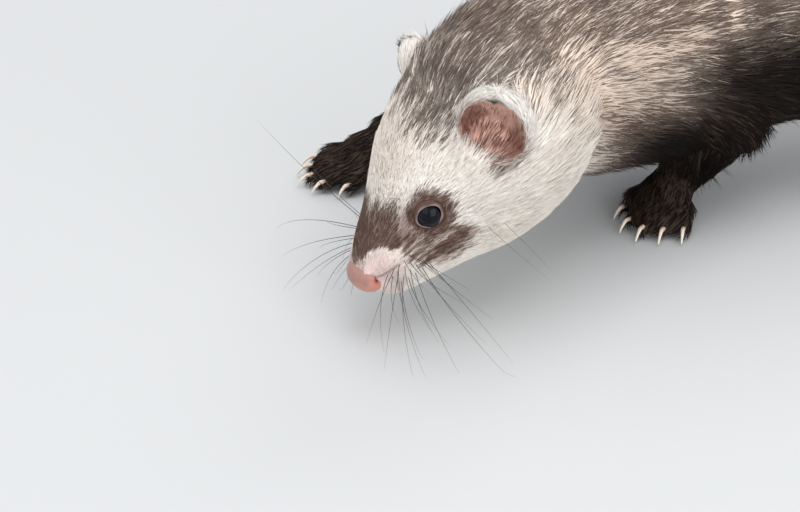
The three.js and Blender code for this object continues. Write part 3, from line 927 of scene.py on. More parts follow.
@dataclass
class Markings:
    """The animal's markings, as colour and coat over the whole skin.

    Attributes:
        body: the pose and its tracks.
        join: how far behind the nose the head's coat starts and ends its change to the neck's, in mm.
    """

    body: Body
    join: tuple[float, float] = (53.0, 77.0)

    def coat(self, points: Array, zones: Array, cup: Array) -> Coat:
        """Works out the coat at places on the skin.

        Args:
            points: places in mm.
            zones: the zone of each place, by value.
            cup: 1 inside the cup of an ear, 0 elsewhere.

        Returns:
            The coat there.
        """
        coat = Coat.blank(len(points))
        join = ramp(-HEAD.into(points)[:, 0], *self.join)
        for zone in Zone:
            here = np.flatnonzero(zones == zone.value)
            if len(here) == 0:
                continue
            part = points[here]
            if zone in LEG_ZONES:
                coat.put(here, self._leg(part, zone))
            elif zone in EAR_ZONES:
                coat.put(here, self._ear(part, EAR_ZONES[zone], cup[here]))
            elif zone is Zone.TAIL:
                coat.put(here, self._tail(part))
            else:
                coat.put(here, self._head(part, cup[here]).mixed(self._trunk(part), join[here]))
        return coat

    def _trunk(self, points: Array) -> Coat:
        """Neck, chest, belly and rump: cream under dark-tipped guard hairs, with sable shoulders, and painted
        shade along the lower sides.

        Args:
            points: places in mm.

        Returns:
            The coat there.
        """
        coat = Coat.blank(len(points))
        place, angle, _ = self.body.tracks[Zone.TRUNK].locate(points)
        high = np.sin(angle)
        broad = noise(points, 9.0, 3)
        streak = streaks(place, angle * 30, 2.0, 17)
        back = ramp(high, 0.05, 0.8)
        below = ramp(-high, 0.3, 0.8)
        shoulder = ramp(place, 36, 74) * ramp(place, 155, 110) * ramp(-high, -0.65, 0.05)
        haunch = ramp(place, 185, 225) * ramp(-high, -0.35, 0.5)
        sable = np.clip(shoulder + 0.6 * haunch + 0.95 * below * ramp(place, 24, 48), 0, 1)
        # Painted shade: the lower sides of the trunk, which face down, are made darker.
        underside_shade = ramp(-high, 0.0, 0.6) * ramp(place, 8, 30) * (1 - shoulder)
        under = blend(Palette.CREAM, Palette.BEIGE, np.clip(0.85 + 0.3 * broad, 0, 1))
        # The 0.68 share turns the lower sides taupe as painted shade; the share on the back is the coat's
        # own.
        under = blend(under, Palette.TAUPE, np.clip(0.14 * back + 0.68 * underside_shade, 0, 1) * (1 - sable))
        coat.under = blend(under, Palette.SABLE, 0.95 * sable)
        coat.tip = blend(coat.under, Palette.CREAM, 0.3 * (1 - sable))
        rear = ramp(place, 45, 90)
        # The 0.3 share adds dark guard hairs on the lower sides as painted shade.
        dark = 0.16 + (0.44 + 0.3 * rear) * back + 0.3 * underside_shade + 0.7 * sable + 0.25 * streak * (0.4 + back)
        coat.dark = np.clip(dark, 0.02, 0.94)
        coat.dark_tip = blend(Palette.TIP, Palette.SABLE_TIP, sable)
        front = ramp(place, 60, 0)
        coat.length = 13.5 - 4.0 * front
        coat.depth = 3.6 - 1.2 * front
        coat.width = 0.92 - 0.4 * ramp(place, 140, 40)
        coat.density = 0.62 + 1.75 * ramp(place, 140, 50)
        return coat

    def _tail(self, points: Array) -> Coat:
        """A brush that darkens to its tip, where its hair is short and lies flat.

        Args:
            points: places in mm.

        Returns:
            The coat there.
        """
        coat = Coat.blank(len(points))
        place, _, _ = self.body.tracks[Zone.TRUNK].locate(points)
        far, end = ramp(place, 275, 370), ramp(place, 380, 425)
        coat.under = blend(Palette.TAUPE, Palette.SABLE, far)
        coat.tip = blend(Palette.BEIGE, Palette.SABLE, 0.4 + 0.6 * far)
        coat.dark = 0.55 + 0.35 * far
        coat.dark_tip = blend(Palette.TIP, Palette.SABLE_TIP, far)
        coat.length = 17.0 - 4.0 * far - 4.0 * end
        coat.depth = 4.6 - 2.8 * end
        coat.width[:] = 0.85
        return coat

    def _leg(self, points: Array, zone: Zone) -> Coat:
        """Black-brown legs that pale towards the trunk.

        Args:
            points: places in mm.
            zone: which leg.

        Returns:
            The coat there.
        """
        coat = Coat.blank(len(points))
        track = self.body.tracks[zone]
        place, _, _ = track.locate(points)
        down = ramp(place, 8, 34)
        foot = ramp(place, track.length[-1] - 38, track.length[-1] - 20)
        pale = 0.45 if zone in (Zone.HIND_LEFT, Zone.HIND_RIGHT) else 0.08
        coat.under = blend(Palette.SABLE, Palette.TAUPE, pale * (1 - down))
        coat.tip = blend(coat.under, Palette.TAUPE, 0.12 + 0.18 * foot)
        coat.dark = 0.72 - 0.2 * foot
        coat.dark_tip[:] = Palette.SABLE_TIP
        coat.length = 9.0 - 3.0 * down - 1.9 * foot
        coat.depth = 2.2 - 0.9 * down - 0.6 * foot
        coat.width = 0.75 - 0.15 * down - 0.2 * foot
        coat.density = 1.2 + 0.8 * down + 1.6 * foot
        return coat

    def _ear(self, points: Array, side: int, inside: Array) -> Coat:
        """White outside and rim, pink and brown inside the cup, with painted shade at the opening of the
        canal.

        Args:
            points: places in mm.
            side: 1 for the left ear, -1 for the right.
            inside: 1 inside the cup, 0 outside.

        Returns:
            The coat there.
        """
        coat = Coat.blank(len(points))
        middle, axes = ear_axes(side)
        local = (points - middle) @ axes.T
        rough = 0.1 * noise(points, 2.5, 31)
        back, across = view_of_face(points)
        deep = ramp(local[:, 1] / EAR_SIZE[1] + 2 * rough, 0.3, -0.5) * 0.6
        front = ramp(across + 12 * rough, 3.5, -1.5) * ramp(back + 12 * rough, 58, 54)
        # The canal's term adds painted shade at its opening to the inner ear's own brown.
        deep = np.clip(deep + 0.8 * front + ear_canal_shade(back, across), 0, 0.95)
        rim = ramp(np.hypot(local[:, 0] / EAR_SIZE[0], local[:, 1] / EAR_SIZE[1]) + rough, 0.5, 0.92)
        bare = inside * (1 - rim * ramp(local[:, 1], -6, 0) * (1 - front))
        coat.under = blend(blend(Palette.WHITE, Palette.EAR, bare), Palette.EAR_DEEP, 0.9 * bare * deep)
        coat.tip = blend(blend(Palette.WHITE, Palette.EAR, 0.9 * bare), Palette.MASK, 0.85 * bare * deep)
        coat.dark = 0.55 * bare * deep
        coat.dark_tip[:] = Palette.MASK_TIP
        coat.length = 3.8 - 1.2 * bare
        coat.depth = 0.65 - 0.2 * bare
        coat.width = 0.26 - 0.04 * bare
        coat.density = 7.5 - 4.0 * bare
        return coat

    def _head(self, points: Array, cup: Array) -> Coat:
        """Pale face, dark mask and dark crown, painted shade in the fold of the mouth, and the floor of the
        ears' cups with painted shade at each canal's opening.

        Args:
            points: places in mm.
            cup: 1 inside the cup of an ear, 0 elsewhere.

        Returns:
            The coat there.
        """
        face = Face(points)
        coat = face.coat()
        # The canal's term adds painted shade at its opening to the mottled brown of the cup's floor.
        deep = np.clip(0.4 + 0.6 * noise(points, 1.8, 33) + ear_canal_shade(face.back, face.across), 0, 0.95)
        inner = blend(Palette.EAR, Palette.EAR_DEEP, deep)
        coat.under = blend(coat.under, inner, 0.95 * cup)
        coat.tip = blend(coat.tip, blend(inner, Palette.MASK, 0.7 * deep), 0.95 * cup)
        coat.dark = coat.dark * (1 - cup) + 0.3 * cup
        coat.length = coat.length * (1 - 0.35 * cup)
        coat.depth = coat.depth * (1 - 0.5 * cup)
        return coat


@dataclass
class Skin:
    """One closed skin over the flesh, a coat's depth inside the solids' outline.

    Attributes:
        body: the pose.
        markings: the coat over it.
        nodes: the flesh nodes, by name.
        voxel: width of a cell of the wrap round the solids, in mm.
        swell: how far each solid is swelled to close the cuts between them, in mm.
        facet_rounds: rounds of smoothing that iron out the solids' facets.
        depth_rounds: rounds that even out the coat's depth before the skin is drawn in by it.
        flow_rounds: rounds that even out the lie of the coat.
        floor_gap: least height over the floor, in mm.
        eye_gap: how near the eye the skin is laid onto it, in mm.
        eye_bed: how far under the eye's surface it then lies, in mm.
        iron_steps: the step in and the step back out of each round of smoothing.
        even_rounds: rounds that even out the way in which the skin is drawn in.
        cup_rounds: rounds that soften the edge of the ears' cups.
        pad_reach: distances from the nose pad's middle, in sizes of the pad.
        pad_drawn: what each of them is drawn in to.
        nostril_pull: how much stronger the skin is drawn in at a nostril.
        nostril_width: how far round the nostril that reaches, in mm.
        tail_end: where the hair starts to point along the tail and where it fully does, in mm from its end.
    """

    body: Body
    markings: Markings
    nodes: dict[str, bpy.types.Object]
    voxel: float = 1.1
    swell: float = 0.3
    facet_rounds: int = 22
    depth_rounds: int = 6
    flow_rounds: int = 24
    floor_gap: float = 0.15
    eye_gap: float = 0.7
    eye_bed: float = 0.25
    iron_steps: tuple[float, float] = (0.6, -0.58)
    even_rounds: int = 3
    cup_rounds: int = 2
    pad_reach: tuple[float, ...] = (0.0, 0.9, 1.2, 1.7)
    pad_drawn: tuple[float, ...] = (0.0, 0.86, 0.93, 1.7)
    nostril_pull: float = 0.7
    nostril_width: float = 2.4
    tail_end: tuple[float, float] = (26.0, 8.0)

    def __post_init__(self) -> None:
        """Builds the skin's arrays."""
        solid_points, solid_faces, owners = self._gather()
        self.points, self.faces = self._wrap(solid_points, solid_faces)
        self.edges = self._edges()
        tree = BVHTree.FromPolygons(solid_points.tolist(), solid_faces.tolist())
        owner = np.array([owners[tree.find_nearest(p)[2]] for p in self.points.tolist()])
        self.zones = np.array([zone_of(name).value for name in self.nodes])[owner]
        ears = (self.zones >= Zone.EAR_LEFT.value).astype(float)
        face = HEAD.into(self.points)
        fine = np.clip(ears + ramp(face[:, 0], -34, -22) * (self.zones == Zone.HEAD.value), 0, 1)
        self._iron(1.0 - 0.75 * fine)
        self.normals = self._normals()
        self.cup = self._cups()
        self._shrink()
        self.flow = self._flow()

    def _gather(self) -> tuple[Array, Array, Array]:
        """Joins the nodes' meshes, each swelled a little so that the cuts between them close.

        Returns:
            Points in mm, triangles, and the number of the node that each triangle comes from.
        """
        all_points, all_faces, owners, offset = [], [], [], 0
        for number, node in enumerate(self.nodes.values()):
            work = bmesh.new()
            work.from_mesh(node.data)
            bmesh.ops.remove_doubles(work, verts=work.verts, dist=1e-6)
            bmesh.ops.triangulate(work, faces=work.faces)
            work.normal_update()
            turn = node.matrix_world
            spot = np.array([turn @ v.co for v in work.verts])
            way = unit(np.array([turn.to_3x3() @ v.normal for v in work.verts]))
            faces = np.array([[v.index for v in f.verts] for f in work.faces])
            work.free()
            all_points.append(self.body.pose(spot) + way * self.swell)
            all_faces.append(faces + offset)
            owners.append(np.full(len(faces), number))
            offset += len(spot)
        return np.concatenate(all_points), np.concatenate(all_faces), np.concatenate(owners)

    def _wrap(self, points: Array, faces: Array) -> tuple[Array, Array]:
        """Wraps the joined solids in one even mesh.

        Args:
            points: places in mm.
            faces: triangles.

        Returns:
            Points in mm and four-sided faces.
        """
        rough = make_mesh("skin_rough", points * MM, faces)
        wrap = rough.modifiers.new("wrap", "REMESH")
        wrap.mode = "VOXEL"
        wrap.voxel_size = self.voxel * MM
        graph = bpy.context.evaluated_depsgraph_get()
        mesh = bpy.data.meshes.new_from_object(rough.evaluated_get(graph))
        spot = np.empty(len(mesh.vertices) * 3, np.float32)
        mesh.vertices.foreach_get("co", spot)
        corners = np.empty(len(mesh.loops), np.int32)
        mesh.loops.foreach_get("vertex_index", corners)
        bpy.data.objects.remove(rough)
        bpy.data.meshes.remove(mesh)
        return self._largest(spot.reshape(-1, 3).astype(float) / MM, corners.reshape(-1, 4))

    @staticmethod
    def _largest(points: Array, faces: Array) -> tuple[Array, Array]:
        """Keeps the outermost shell, and drops any sealed pocket.

        Each vertex takes the lowest label among its faces until none changes, and the commonest label is
        the outermost shell.

        Args:
            points: places in mm.
            faces: four-sided faces.

        Returns:
            The points and faces of that shell.
        """
        label = np.arange(len(points))
        while True:
            low = label[faces].min(axis=1)
            fresh = label.copy()
            np.minimum.at(fresh, faces.ravel(), np.repeat(low, 4))
            fresh = fresh[fresh]
            if np.array_equal(fresh, label):
                break
            label = fresh
        keep = label == np.bincount(label).argmax()
        number = np.cumsum(keep) - 1
        return points[keep], number[faces[keep[faces[:, 0]]]]

    def _edges(self) -> Array:
        """The mesh's edges, each once."""
        pairs = np.concatenate([self.faces[:, [i, (i + 1) % 4]] for i in range(4)])
        pairs.sort(axis=1)
        return np.unique(pairs, axis=0)

    def _around(self, values: Array) -> Array:
        """The mean over each vertex's neighbours.

        Args:
            values: one row for each vertex.

        Returns:
            One row for each vertex.
        """
        a, b = self.edges.T
        count = np.bincount(self.edges.ravel(), minlength=len(values))[:, None]
        sums = [
            np.bincount(a, values[b, k], len(values)) + np.bincount(b, values[a, k], len(values))
            for k in range(values.shape[1])
        ]
        return np.stack(sums, axis=1) / count

    def _iron(self, share: Array) -> None:
        """Irons out the solids' facets with little loss of size, by steps in and then back out.

        Args:
            share: how strongly each vertex moves, from 0 to 1.
        """
        for _ in range(self.facet_rounds):
            for step in self.iron_steps:
                move = self._around(self.points) - self.points
                self.points = self.points + move * (step * share)[:, None]

    def _normals(self) -> Array:
        """A smooth normal for each vertex: the sum over its faces, weighed by their area.

        Returns:
            One normal for each vertex.
        """
        p = self.points[self.faces]
        face = np.cross(p[:, 2] - p[:, 0], p[:, 3] - p[:, 1])
        corner = self.faces.ravel()
        sums = [np.bincount(corner, np.repeat(face[:, k], 4), len(self.points)) for k in range(3)]
        return unit(np.stack(sums, axis=1))

    def _cups(self) -> Array:
        """Which vertices are inside the cup of an ear: those on the ear that face its hollow.

        Returns:
            Shares from 0 to 1.
        """
        cup = np.zeros(len(self.points))
        for zone, side in EAR_ZONES.items():
            middle, axes = ear_axes(side)
            hollow = middle + CUP_MIDDLE @ axes
            way = np.sum(unit(hollow - self.points) * self.normals, axis=1)
            ear = (self.zones == zone.value) * ramp(way, 0.0, 0.3)
            floor = (self.zones == Zone.HEAD.value) * in_cup(self.points, side)
            cup = np.maximum(cup, np.maximum(ear, floor))
        for _ in range(self.cup_rounds):
            cup = self._around(cup[:, None])[:, 0]
        return cup

    def _shrink(self) -> None:
        """Draws the skin in by the coat's depth, and fits it round the nose and the eyes."""
        depth = self.markings.coat(self.points, self.zones, self.cup).depth[:, None]
        for _ in range(self.depth_rounds):
            depth = self._around(depth)
        even = self.normals
        for _ in range(self.even_rounds):
            even = unit(self._around(even))
        self.points = self.points - even * (depth + self.swell)
        self._seat_nose()
        self.points[:, 2] = np.maximum(self.points[:, 2], self.floor_gap)
        for side in SIDES.values():
            middle = HEAD.out(EYE_LOCAL * [1, side, 1])
            away = self.points - middle
            near = np.linalg.norm(away, axis=1) < EYE_RADIUS + self.eye_gap
            self.points[near] = middle + unit(away[near]) * (EYE_RADIUS - self.eye_bed)
        self.normals = self._normals()

    def _seat_nose(self) -> None:
        """Draws the skin in round the nose pad, so that the pad is as wide as the end of the muzzle.

        The distance from the pad's middle, in sizes of the pad, is mapped to a shorter one near the pad's
        surface. The pull is stronger round each nostril.
        """
        local = HEAD.into(self.points)
        away = local - NOSE_LOCAL
        reach = np.linalg.norm(away / NOSE_SIZE, axis=1)
        drawn = np.interp(reach, self.pad_reach, self.pad_drawn) / np.maximum(reach, 1e-6)
        near = reach < self.pad_reach[-1]
        share = (ramp(local[:, 0], -8.5, -5.5) * near * ramp(away[:, 2], 3.5, 1.5))[:, None]
        folded = np.stack([away[:, 0], np.abs(away[:, 1]), away[:, 2]], axis=1)
        gap = np.linalg.norm(folded - NOSTRIL_LOCAL, axis=1)
        share = share * (1 + self.nostril_pull * np.exp(-((gap / self.nostril_width) ** 2)))[:, None]
        self.points = HEAD.out(NOSE_LOCAL + away * (1 + (drawn[:, None] - 1) * share))

    def _flow(self) -> Array:
        """The lie of the coat at each vertex, along the tracks, smoothed and laid on the skin.

        At the tip of the tail the hair points on along the tail, and not over its rounded end.

        Returns:
            A direction for each vertex.
        """
        flow = np.zeros_like(self.points)
        for zone in Zone:
            here = self.zones == zone.value
            if here.any():
                flow[here] = self.body.tracks[zone].locate(self.points[here])[2]
        for _ in range(self.flow_rounds):
            flow = self._around(flow)
            flow = unit(flow - self.normals * np.sum(flow * self.normals, axis=1, keepdims=True))
        tail = np.flatnonzero(self.zones == Zone.TAIL.value)
        track = self.body.tracks[Zone.TAIL]
        place, _, way = track.locate(self.points[tail])
        share = ramp(track.length[-1] - place, *self.tail_end)[:, None]
        flow[tail] = unit(flow[tail] * (1 - share) + way * share)
        return flow

    def unwrap(self, points: Array, zones: Array) -> Array:
        """Lays places out on the skin's unwrap: across by place on the track, up by angle round it.

        Args:
            points: places in mm.
            zones: the zone of each place, by value.

        Returns:
            A place from 0 to 1 each way.
        """
        uvs = np.zeros((len(points), 2))
        for zone, (left, low, wide, tall) in UNWRAP.items():
            here = zones == zone.value
            if here.any():
                track = self.body.tracks[zone]
                place, angle, _ = track.locate(points[here])
                uvs[here, 0] = left + wide * np.clip(place / track.length[-1], 0, 1)
                uvs[here, 1] = low + tall * (angle / (2 * np.pi) + 0.5)
        return uvs

    def piece(self) -> bpy.types.Object:
        """Makes the skin's object.

        Returns:
            The skin, in the colour of the roots of its coat, darkened a little as painted shade under the
            coat.
        """
        coat = self.markings.coat(self.points, self.zones, self.cup)
        uvs = self.unwrap(self.points, self.zones)
        # The 0.94 darkens the skin as painted shade under the coat.
        return make_mesh("skin", self.body.metres(self.points), self.faces, coat.under * 0.94, uvs)


@dataclass
class Roots:
    """Where tufts stand.

    Attributes:
        spots: places in mm.
        normals: the skin's normal at each.
        flow: the lie of the coat at each.
        zones: the zone of each, by value.
        cup: 1 inside the cup of an ear, 0 elsewhere.
    """

    spots: Array
    normals: Array
    flow: Array
    zones: Array
    cup: Array

    def pick(self, chosen: Array) -> Roots:
        """Picks some of the roots, by number or by a row of true and false."""
        return Roots(*(values[chosen] for values in vars(self).values()))


@dataclass
class CoatMaker:
    """Grows the coat as closed, tapering tufts rooted in the skin.

    Attributes:
        skin: what the coat grows on.
        material: the coat's material.
        most_tufts: the most tufts in one piece.
        rings: the two three-sided rings of a tuft, each with its share of the tuft's length, lift and width.
        flat: a tuft's thickness for its width.
        rounding: how far its shading turns to the sides, for a round look.
        guard_size: length, lift and width of a dark guard hair for the coat's.
        down_size: the same for any other tuft.
        clump: width of a clump, in mm, in which tufts are longer and lighter together.
        wander: how much tufts turn together over 7 mm, over 2.5 mm and each by itself, in radians.
        sway: how far a tip sways aside for its length.
        eye_gap: how far from the eye's surface the coat stays, in mm.
        nose_gap: how far outside the solid nose it stays, in mm.
        sole: height in mm under which the soles are bare.
    """

    skin: Skin
    material: bpy.types.Material
    most_tufts: int = 18500
    rings: tuple[tuple[float, float, float], ...] = ((0.0, -0.12, 0.8), (0.42, 0.62, 1.0))
    flat: float = 0.56
    rounding: float = 0.35
    guard_size: tuple[float, float, float] = (1.12, 1.1, 0.62)
    down_size: tuple[float, float, float] = (0.9, 0.85, 1.0)
    clump: float = 5.0
    wander: tuple[float, float, float] = (0.16, 0.10, 0.09)
    sway: float = 0.05
    eye_gap: float = 0.75
    nose_gap: float = 0.6
    sole: float = 4.5
    rng: np.random.Generator = field(default_factory=lambda: np.random.default_rng(SEED))

    def grow(self) -> list[bpy.types.Object]:
        """Grows the whole coat, zone by zone, each in pieces from front to back.

        Returns:
            The coat's pieces.
        """
        roots = self._sow()
        LOG.info("%d tufts", len(roots.spots))
        pieces = []
        for zone in Zone:
            here = np.flatnonzero(roots.zones == zone.value)
            if len(here) == 0:
                continue
            place, _, _ = self.skin.body.tracks[zone].locate(roots.spots[here])
            here = here[np.argsort(place, kind="stable")]
            parts = np.array_split(here, math.ceil(len(here) / self.most_tufts))
            for k, part in enumerate(parts):
                pieces.append(self._tufts(f"coat_{zone.name.lower()}_{k + 1}", roots.pick(part)))
        return pieces

    def _sow(self) -> Roots:
        """Scatters roots over the skin's faces, as many as each one's area and the coat's density give.

        Returns:
            The roots.
        """
        skin = self.skin
        p = skin.points[skin.faces]
        area = 0.5 * np.linalg.norm(np.cross(p[:, 2] - p[:, 0], p[:, 3] - p[:, 1]), axis=1)
        coat = skin.markings.coat(skin.points, skin.zones, skin.cup)
        wanted = area * coat.density[skin.faces].mean(axis=1)
        number = np.floor(wanted + self.rng.random(len(wanted))).astype(int)
        face = np.repeat(np.arange(len(number)), number)
        u, v = self.rng.random((2, len(face), 1))
        corners = skin.faces[face].T
        spots = self._between(skin.points, corners, u, v)
        normals = unit(self._between(skin.normals, corners, u, v))
        flow = unit(self._between(skin.flow, corners, u, v))
        cup = self._between(skin.cup[:, None], corners, u, v)[:, 0]
        roots = Roots(spots, normals, flow, skin.zones[corners[0]], cup)
        return roots.pick(self._keep(roots))

    @staticmethod
    def _between(values: Array, corners: Array, u: Array, v: Array) -> Array:
        """Spreads values over four-sided faces, evenly from corner to corner."""
        a, b, c, d = (values[corner] for corner in corners)
        return (a * (1 - u) + b * u) * (1 - v) + (d * (1 - u) + c * u) * v

    def _keep(self, roots: Roots) -> Array:
        """Leaves bare the eyes, the nose and the undersides of the feet.

        Args:
            roots: all the roots.

        Returns:
            Which of them grow a tuft.
        """
        keep = np.ones(len(roots.spots), bool)
        for side in SIDES.values():
            facing = HEAD.turn(EYE_FACING * [1, side, 1])
            away = roots.spots - HEAD.out(EYE_LOCAL * [1, side, 1])
            keep &= ~((np.linalg.norm(away, axis=1) < EYE_RADIUS + self.eye_gap) & (away @ facing > -1.0))
        local = HEAD.into(roots.spots)
        keep &= np.linalg.norm((local - NOSE_LOCAL) / (NOSE_SIZE + self.nose_gap), axis=1) > 1.0
        leg = (roots.zones >= Zone.FORE_LEFT.value) & (roots.zones <= Zone.HIND_RIGHT.value)
        keep &= ~(leg & (roots.normals[:, 2] < -0.6) & (roots.spots[:, 2] < self.sole))
        return keep

    def _tufts(self, name: str, roots: Roots) -> bpy.types.Object:
        """Makes one piece of coat.

        A tuft leaves its root along the lie of the coat, turned a little by noise, and rises as it goes. It
        is a spike with a three-sided ring at its root, a wider one below its middle, and a point. It is
        shaded with normals near the skin's, so that the coat reads as one surface.

        Args:
            name: the piece's name.
            roots: where its tufts stand.

        Returns:
            The piece.
        """
        rng, spots, normals, count = self.rng, roots.spots, roots.normals, len(roots.spots)
        coat = self.skin.markings.coat(spots, roots.zones, roots.cup)
        guard = rng.random(count) < coat.dark
        clump = noise(spots, self.clump, 21)
        wide_turn, fine_turn, own_turn = self.wander
        turn = wide_turn * noise(spots, 7.0, 8) + fine_turn * noise(spots, 2.5, 9)
        turn = turn + rng.normal(0, own_turn, count)
        across = unit(np.cross(normals, roots.flow))
        way = unit(roots.flow * np.cos(turn)[:, None] + across * np.sin(turn)[:, None])
        across = unit(np.cross(normals, way))
        size = np.where(guard[:, None], self.guard_size, self.down_size).T
        length = coat.length * (0.85 + 0.3 * rng.random(count) + 0.12 * clump) * size[0]
        lift = coat.depth * (0.75 + 0.45 * rng.random(count) + 0.15 * clump) * size[1]
        width = coat.width * (0.8 + 0.4 * rng.random(count)) * size[2]
        points, facing = [], []
        for along, rise, wide in self.rings:
            middle = spots + way * (length * along)[:, None] + normals * (lift * rise)[:, None]
            for corner in range(3):
                angle = 2 * math.pi * corner / 3 + math.pi / 2
                out = across * (width * wide * 0.5 * math.cos(angle))[:, None]
                up = normals * (width * wide * 0.5 * self.flat * math.sin(angle))[:, None]
                points.append(middle + out + up)
                facing.append(unit(normals + across * (self.rounding * math.cos(angle))))
        sway = rng.normal(0, self.sway, count)
        end = way * length[:, None] + normals * lift[:, None] + across * (length * sway)[:, None]
        points.append(spots + end)
        facing.append(unit(normals + 0.25 * way))
        points, facing = np.stack(points, axis=1), np.stack(facing, axis=1).reshape(-1, 3)
        points[:, :, 2] = np.maximum(points[:, :, 2], LEAST_HEIGHT)
        points = points.reshape(-1, 3)
        faces = (TUFT_FACES[None] + 7 * np.arange(count)[:, None, None]).reshape(-1, 3)
        tints = self._tints(coat, guard, 1.0 + 0.06 * clump + rng.normal(0, 0.06, count))
        uvs = (self.skin.unwrap(spots, roots.zones)[:, None, :] + TUFT_SPOTS[None]).reshape(-1, 2)
        piece = make_mesh(name, self.skin.body.metres(points), faces, tints, uvs, facing)
        finish_piece(piece, self.material, "dark_coat" if Zone(roots.zones[0]) in DARK_ZONES else "pale_coat")
        return piece

    @staticmethod
    def _tints(coat: Coat, guard: Array, shade: Array) -> Array:
        """Colours each tuft from its root, darkened a little as painted shade, to its tip, and darkens the
        guard hairs towards theirs.

        Args:
            coat: the coat at each tuft.
            guard: which tufts are dark guard hairs.
            shade: how light each tuft is, about 1.

        Returns:
            A colour for each vertex, seven to a tuft.
        """
        shade, guard = shade[:, None], guard[:, None]
        # The root is darkened to 0.93 of the undercoat: painted shade deep in the coat.
        low = coat.under * shade * 0.93
        mid = blend(coat.under, coat.tip, np.full(len(shade), 0.4)) * shade
        mid = np.where(guard, mid * 0.3 + coat.dark_tip * 0.7, mid)
        top = np.where(guard, coat.dark_tip, coat.tip * shade)
        return np.clip(np.stack([low] * 3 + [mid] * 3 + [top], axis=1), 0.0, 1.0).reshape(-1, 3)


def grid_faces(rows: int, columns: int) -> Array:
    """Triangles between the rows of a grid whose columns close into a ring.

    Args:
        rows: rows of points.
        columns: points in each row.

    Returns:
        Triangles that face outwards where the rows run down and the columns run round to the left.
    """
    row, column = (v.ravel() for v in np.indices((rows - 1, columns)))
    here, beside = row * columns + column, row * columns + (column + 1) % columns
    upper = np.stack([here, here + columns, beside], axis=1)
    lower = np.stack([beside, here + columns, beside + columns], axis=1)
    return np.concatenate([upper, lower])


def ball(rows: int, columns: int) -> tuple[Array, Array]:
    """A sphere of radius one with its pole at +Z, from the sines and cosines of its two angles.

    Args:
        rows: rows from pole to pole.
        columns: faces round it.

    Returns:
        Points and triangles.
    """
    lat = np.linspace(0, np.pi, rows + 1)[1:-1, None]
    lon = (np.arange(columns) * 2 * np.pi / columns)[None]
    grid = np.stack(
        [np.sin(lat) * np.cos(lon), np.sin(lat) * np.sin(lon), np.cos(lat) * np.ones_like(lon)], axis=2
    ).reshape(-1, 3)
    points = np.concatenate([grid, [[0, 0, 1.0], [0, 0, -1.0]]])
    k = np.arange(columns)
    beside, last = (k + 1) % columns, (rows - 2) * columns
    top = np.stack([np.full(columns, len(grid)), k, beside], axis=1)
    foot = np.stack([np.full(columns, len(grid) + 1), last + beside, last + k], axis=1)
    return points, np.concatenate([top, grid_faces(rows - 1, columns), foot])


def tube(path: Array, radii: Array, sides: int) -> tuple[Array, Array]:
    """A closed round tube: at each place of a path, a circle square to the path.

    Args:
        path: places along the middle.
        radii: the radius at each.
        sides: faces round it.

    Returns:
        Points and triangles.
    """
    way = unit(np.gradient(path, axis=0))
    hint = np.array([0.0, 0.0, 1.0]) if abs(way[0, 2]) < 0.9 else np.array([1.0, 0.0, 0.0])
    across = unit(np.cross(way, hint))
    up = np.cross(across, way)
    turn = (np.arange(sides) * 2 * np.pi / sides)[None, :, None]
    ring = across[:, None] * np.cos(turn) + up[:, None] * np.sin(turn)
    rings = (path[:, None] + ring * radii[:, None, None]).reshape(-1, 3)
    points = np.concatenate([rings, path[:1], path[-1:]])
    k = np.arange(sides)
    beside, end = (k + 1) % sides, (len(path) - 1) * sides
    start = np.stack([np.full(sides, len(rings)), beside, k], axis=1)
    close = np.stack([np.full(sides, len(rings) + 1), end + k, end + beside], axis=1)
    return points, np.concatenate([start, grid_faces(len(path), sides)[:, ::-1], close])


def gather(shapes: list[tuple[Array, Array]]) -> tuple[Array, Array]:
    """Joins shapes into one set of arrays.

    Args:
        shapes: points and triangles of each.

    Returns:
        All points and all triangles.
    """
    offsets = np.cumsum([0] + [len(points) for points, _ in shapes[:-1]])
    faces = [faces + offset for (_, faces), offset in zip(shapes, offsets)]
    return np.concatenate([points for points, _ in shapes]), np.concatenate(faces)


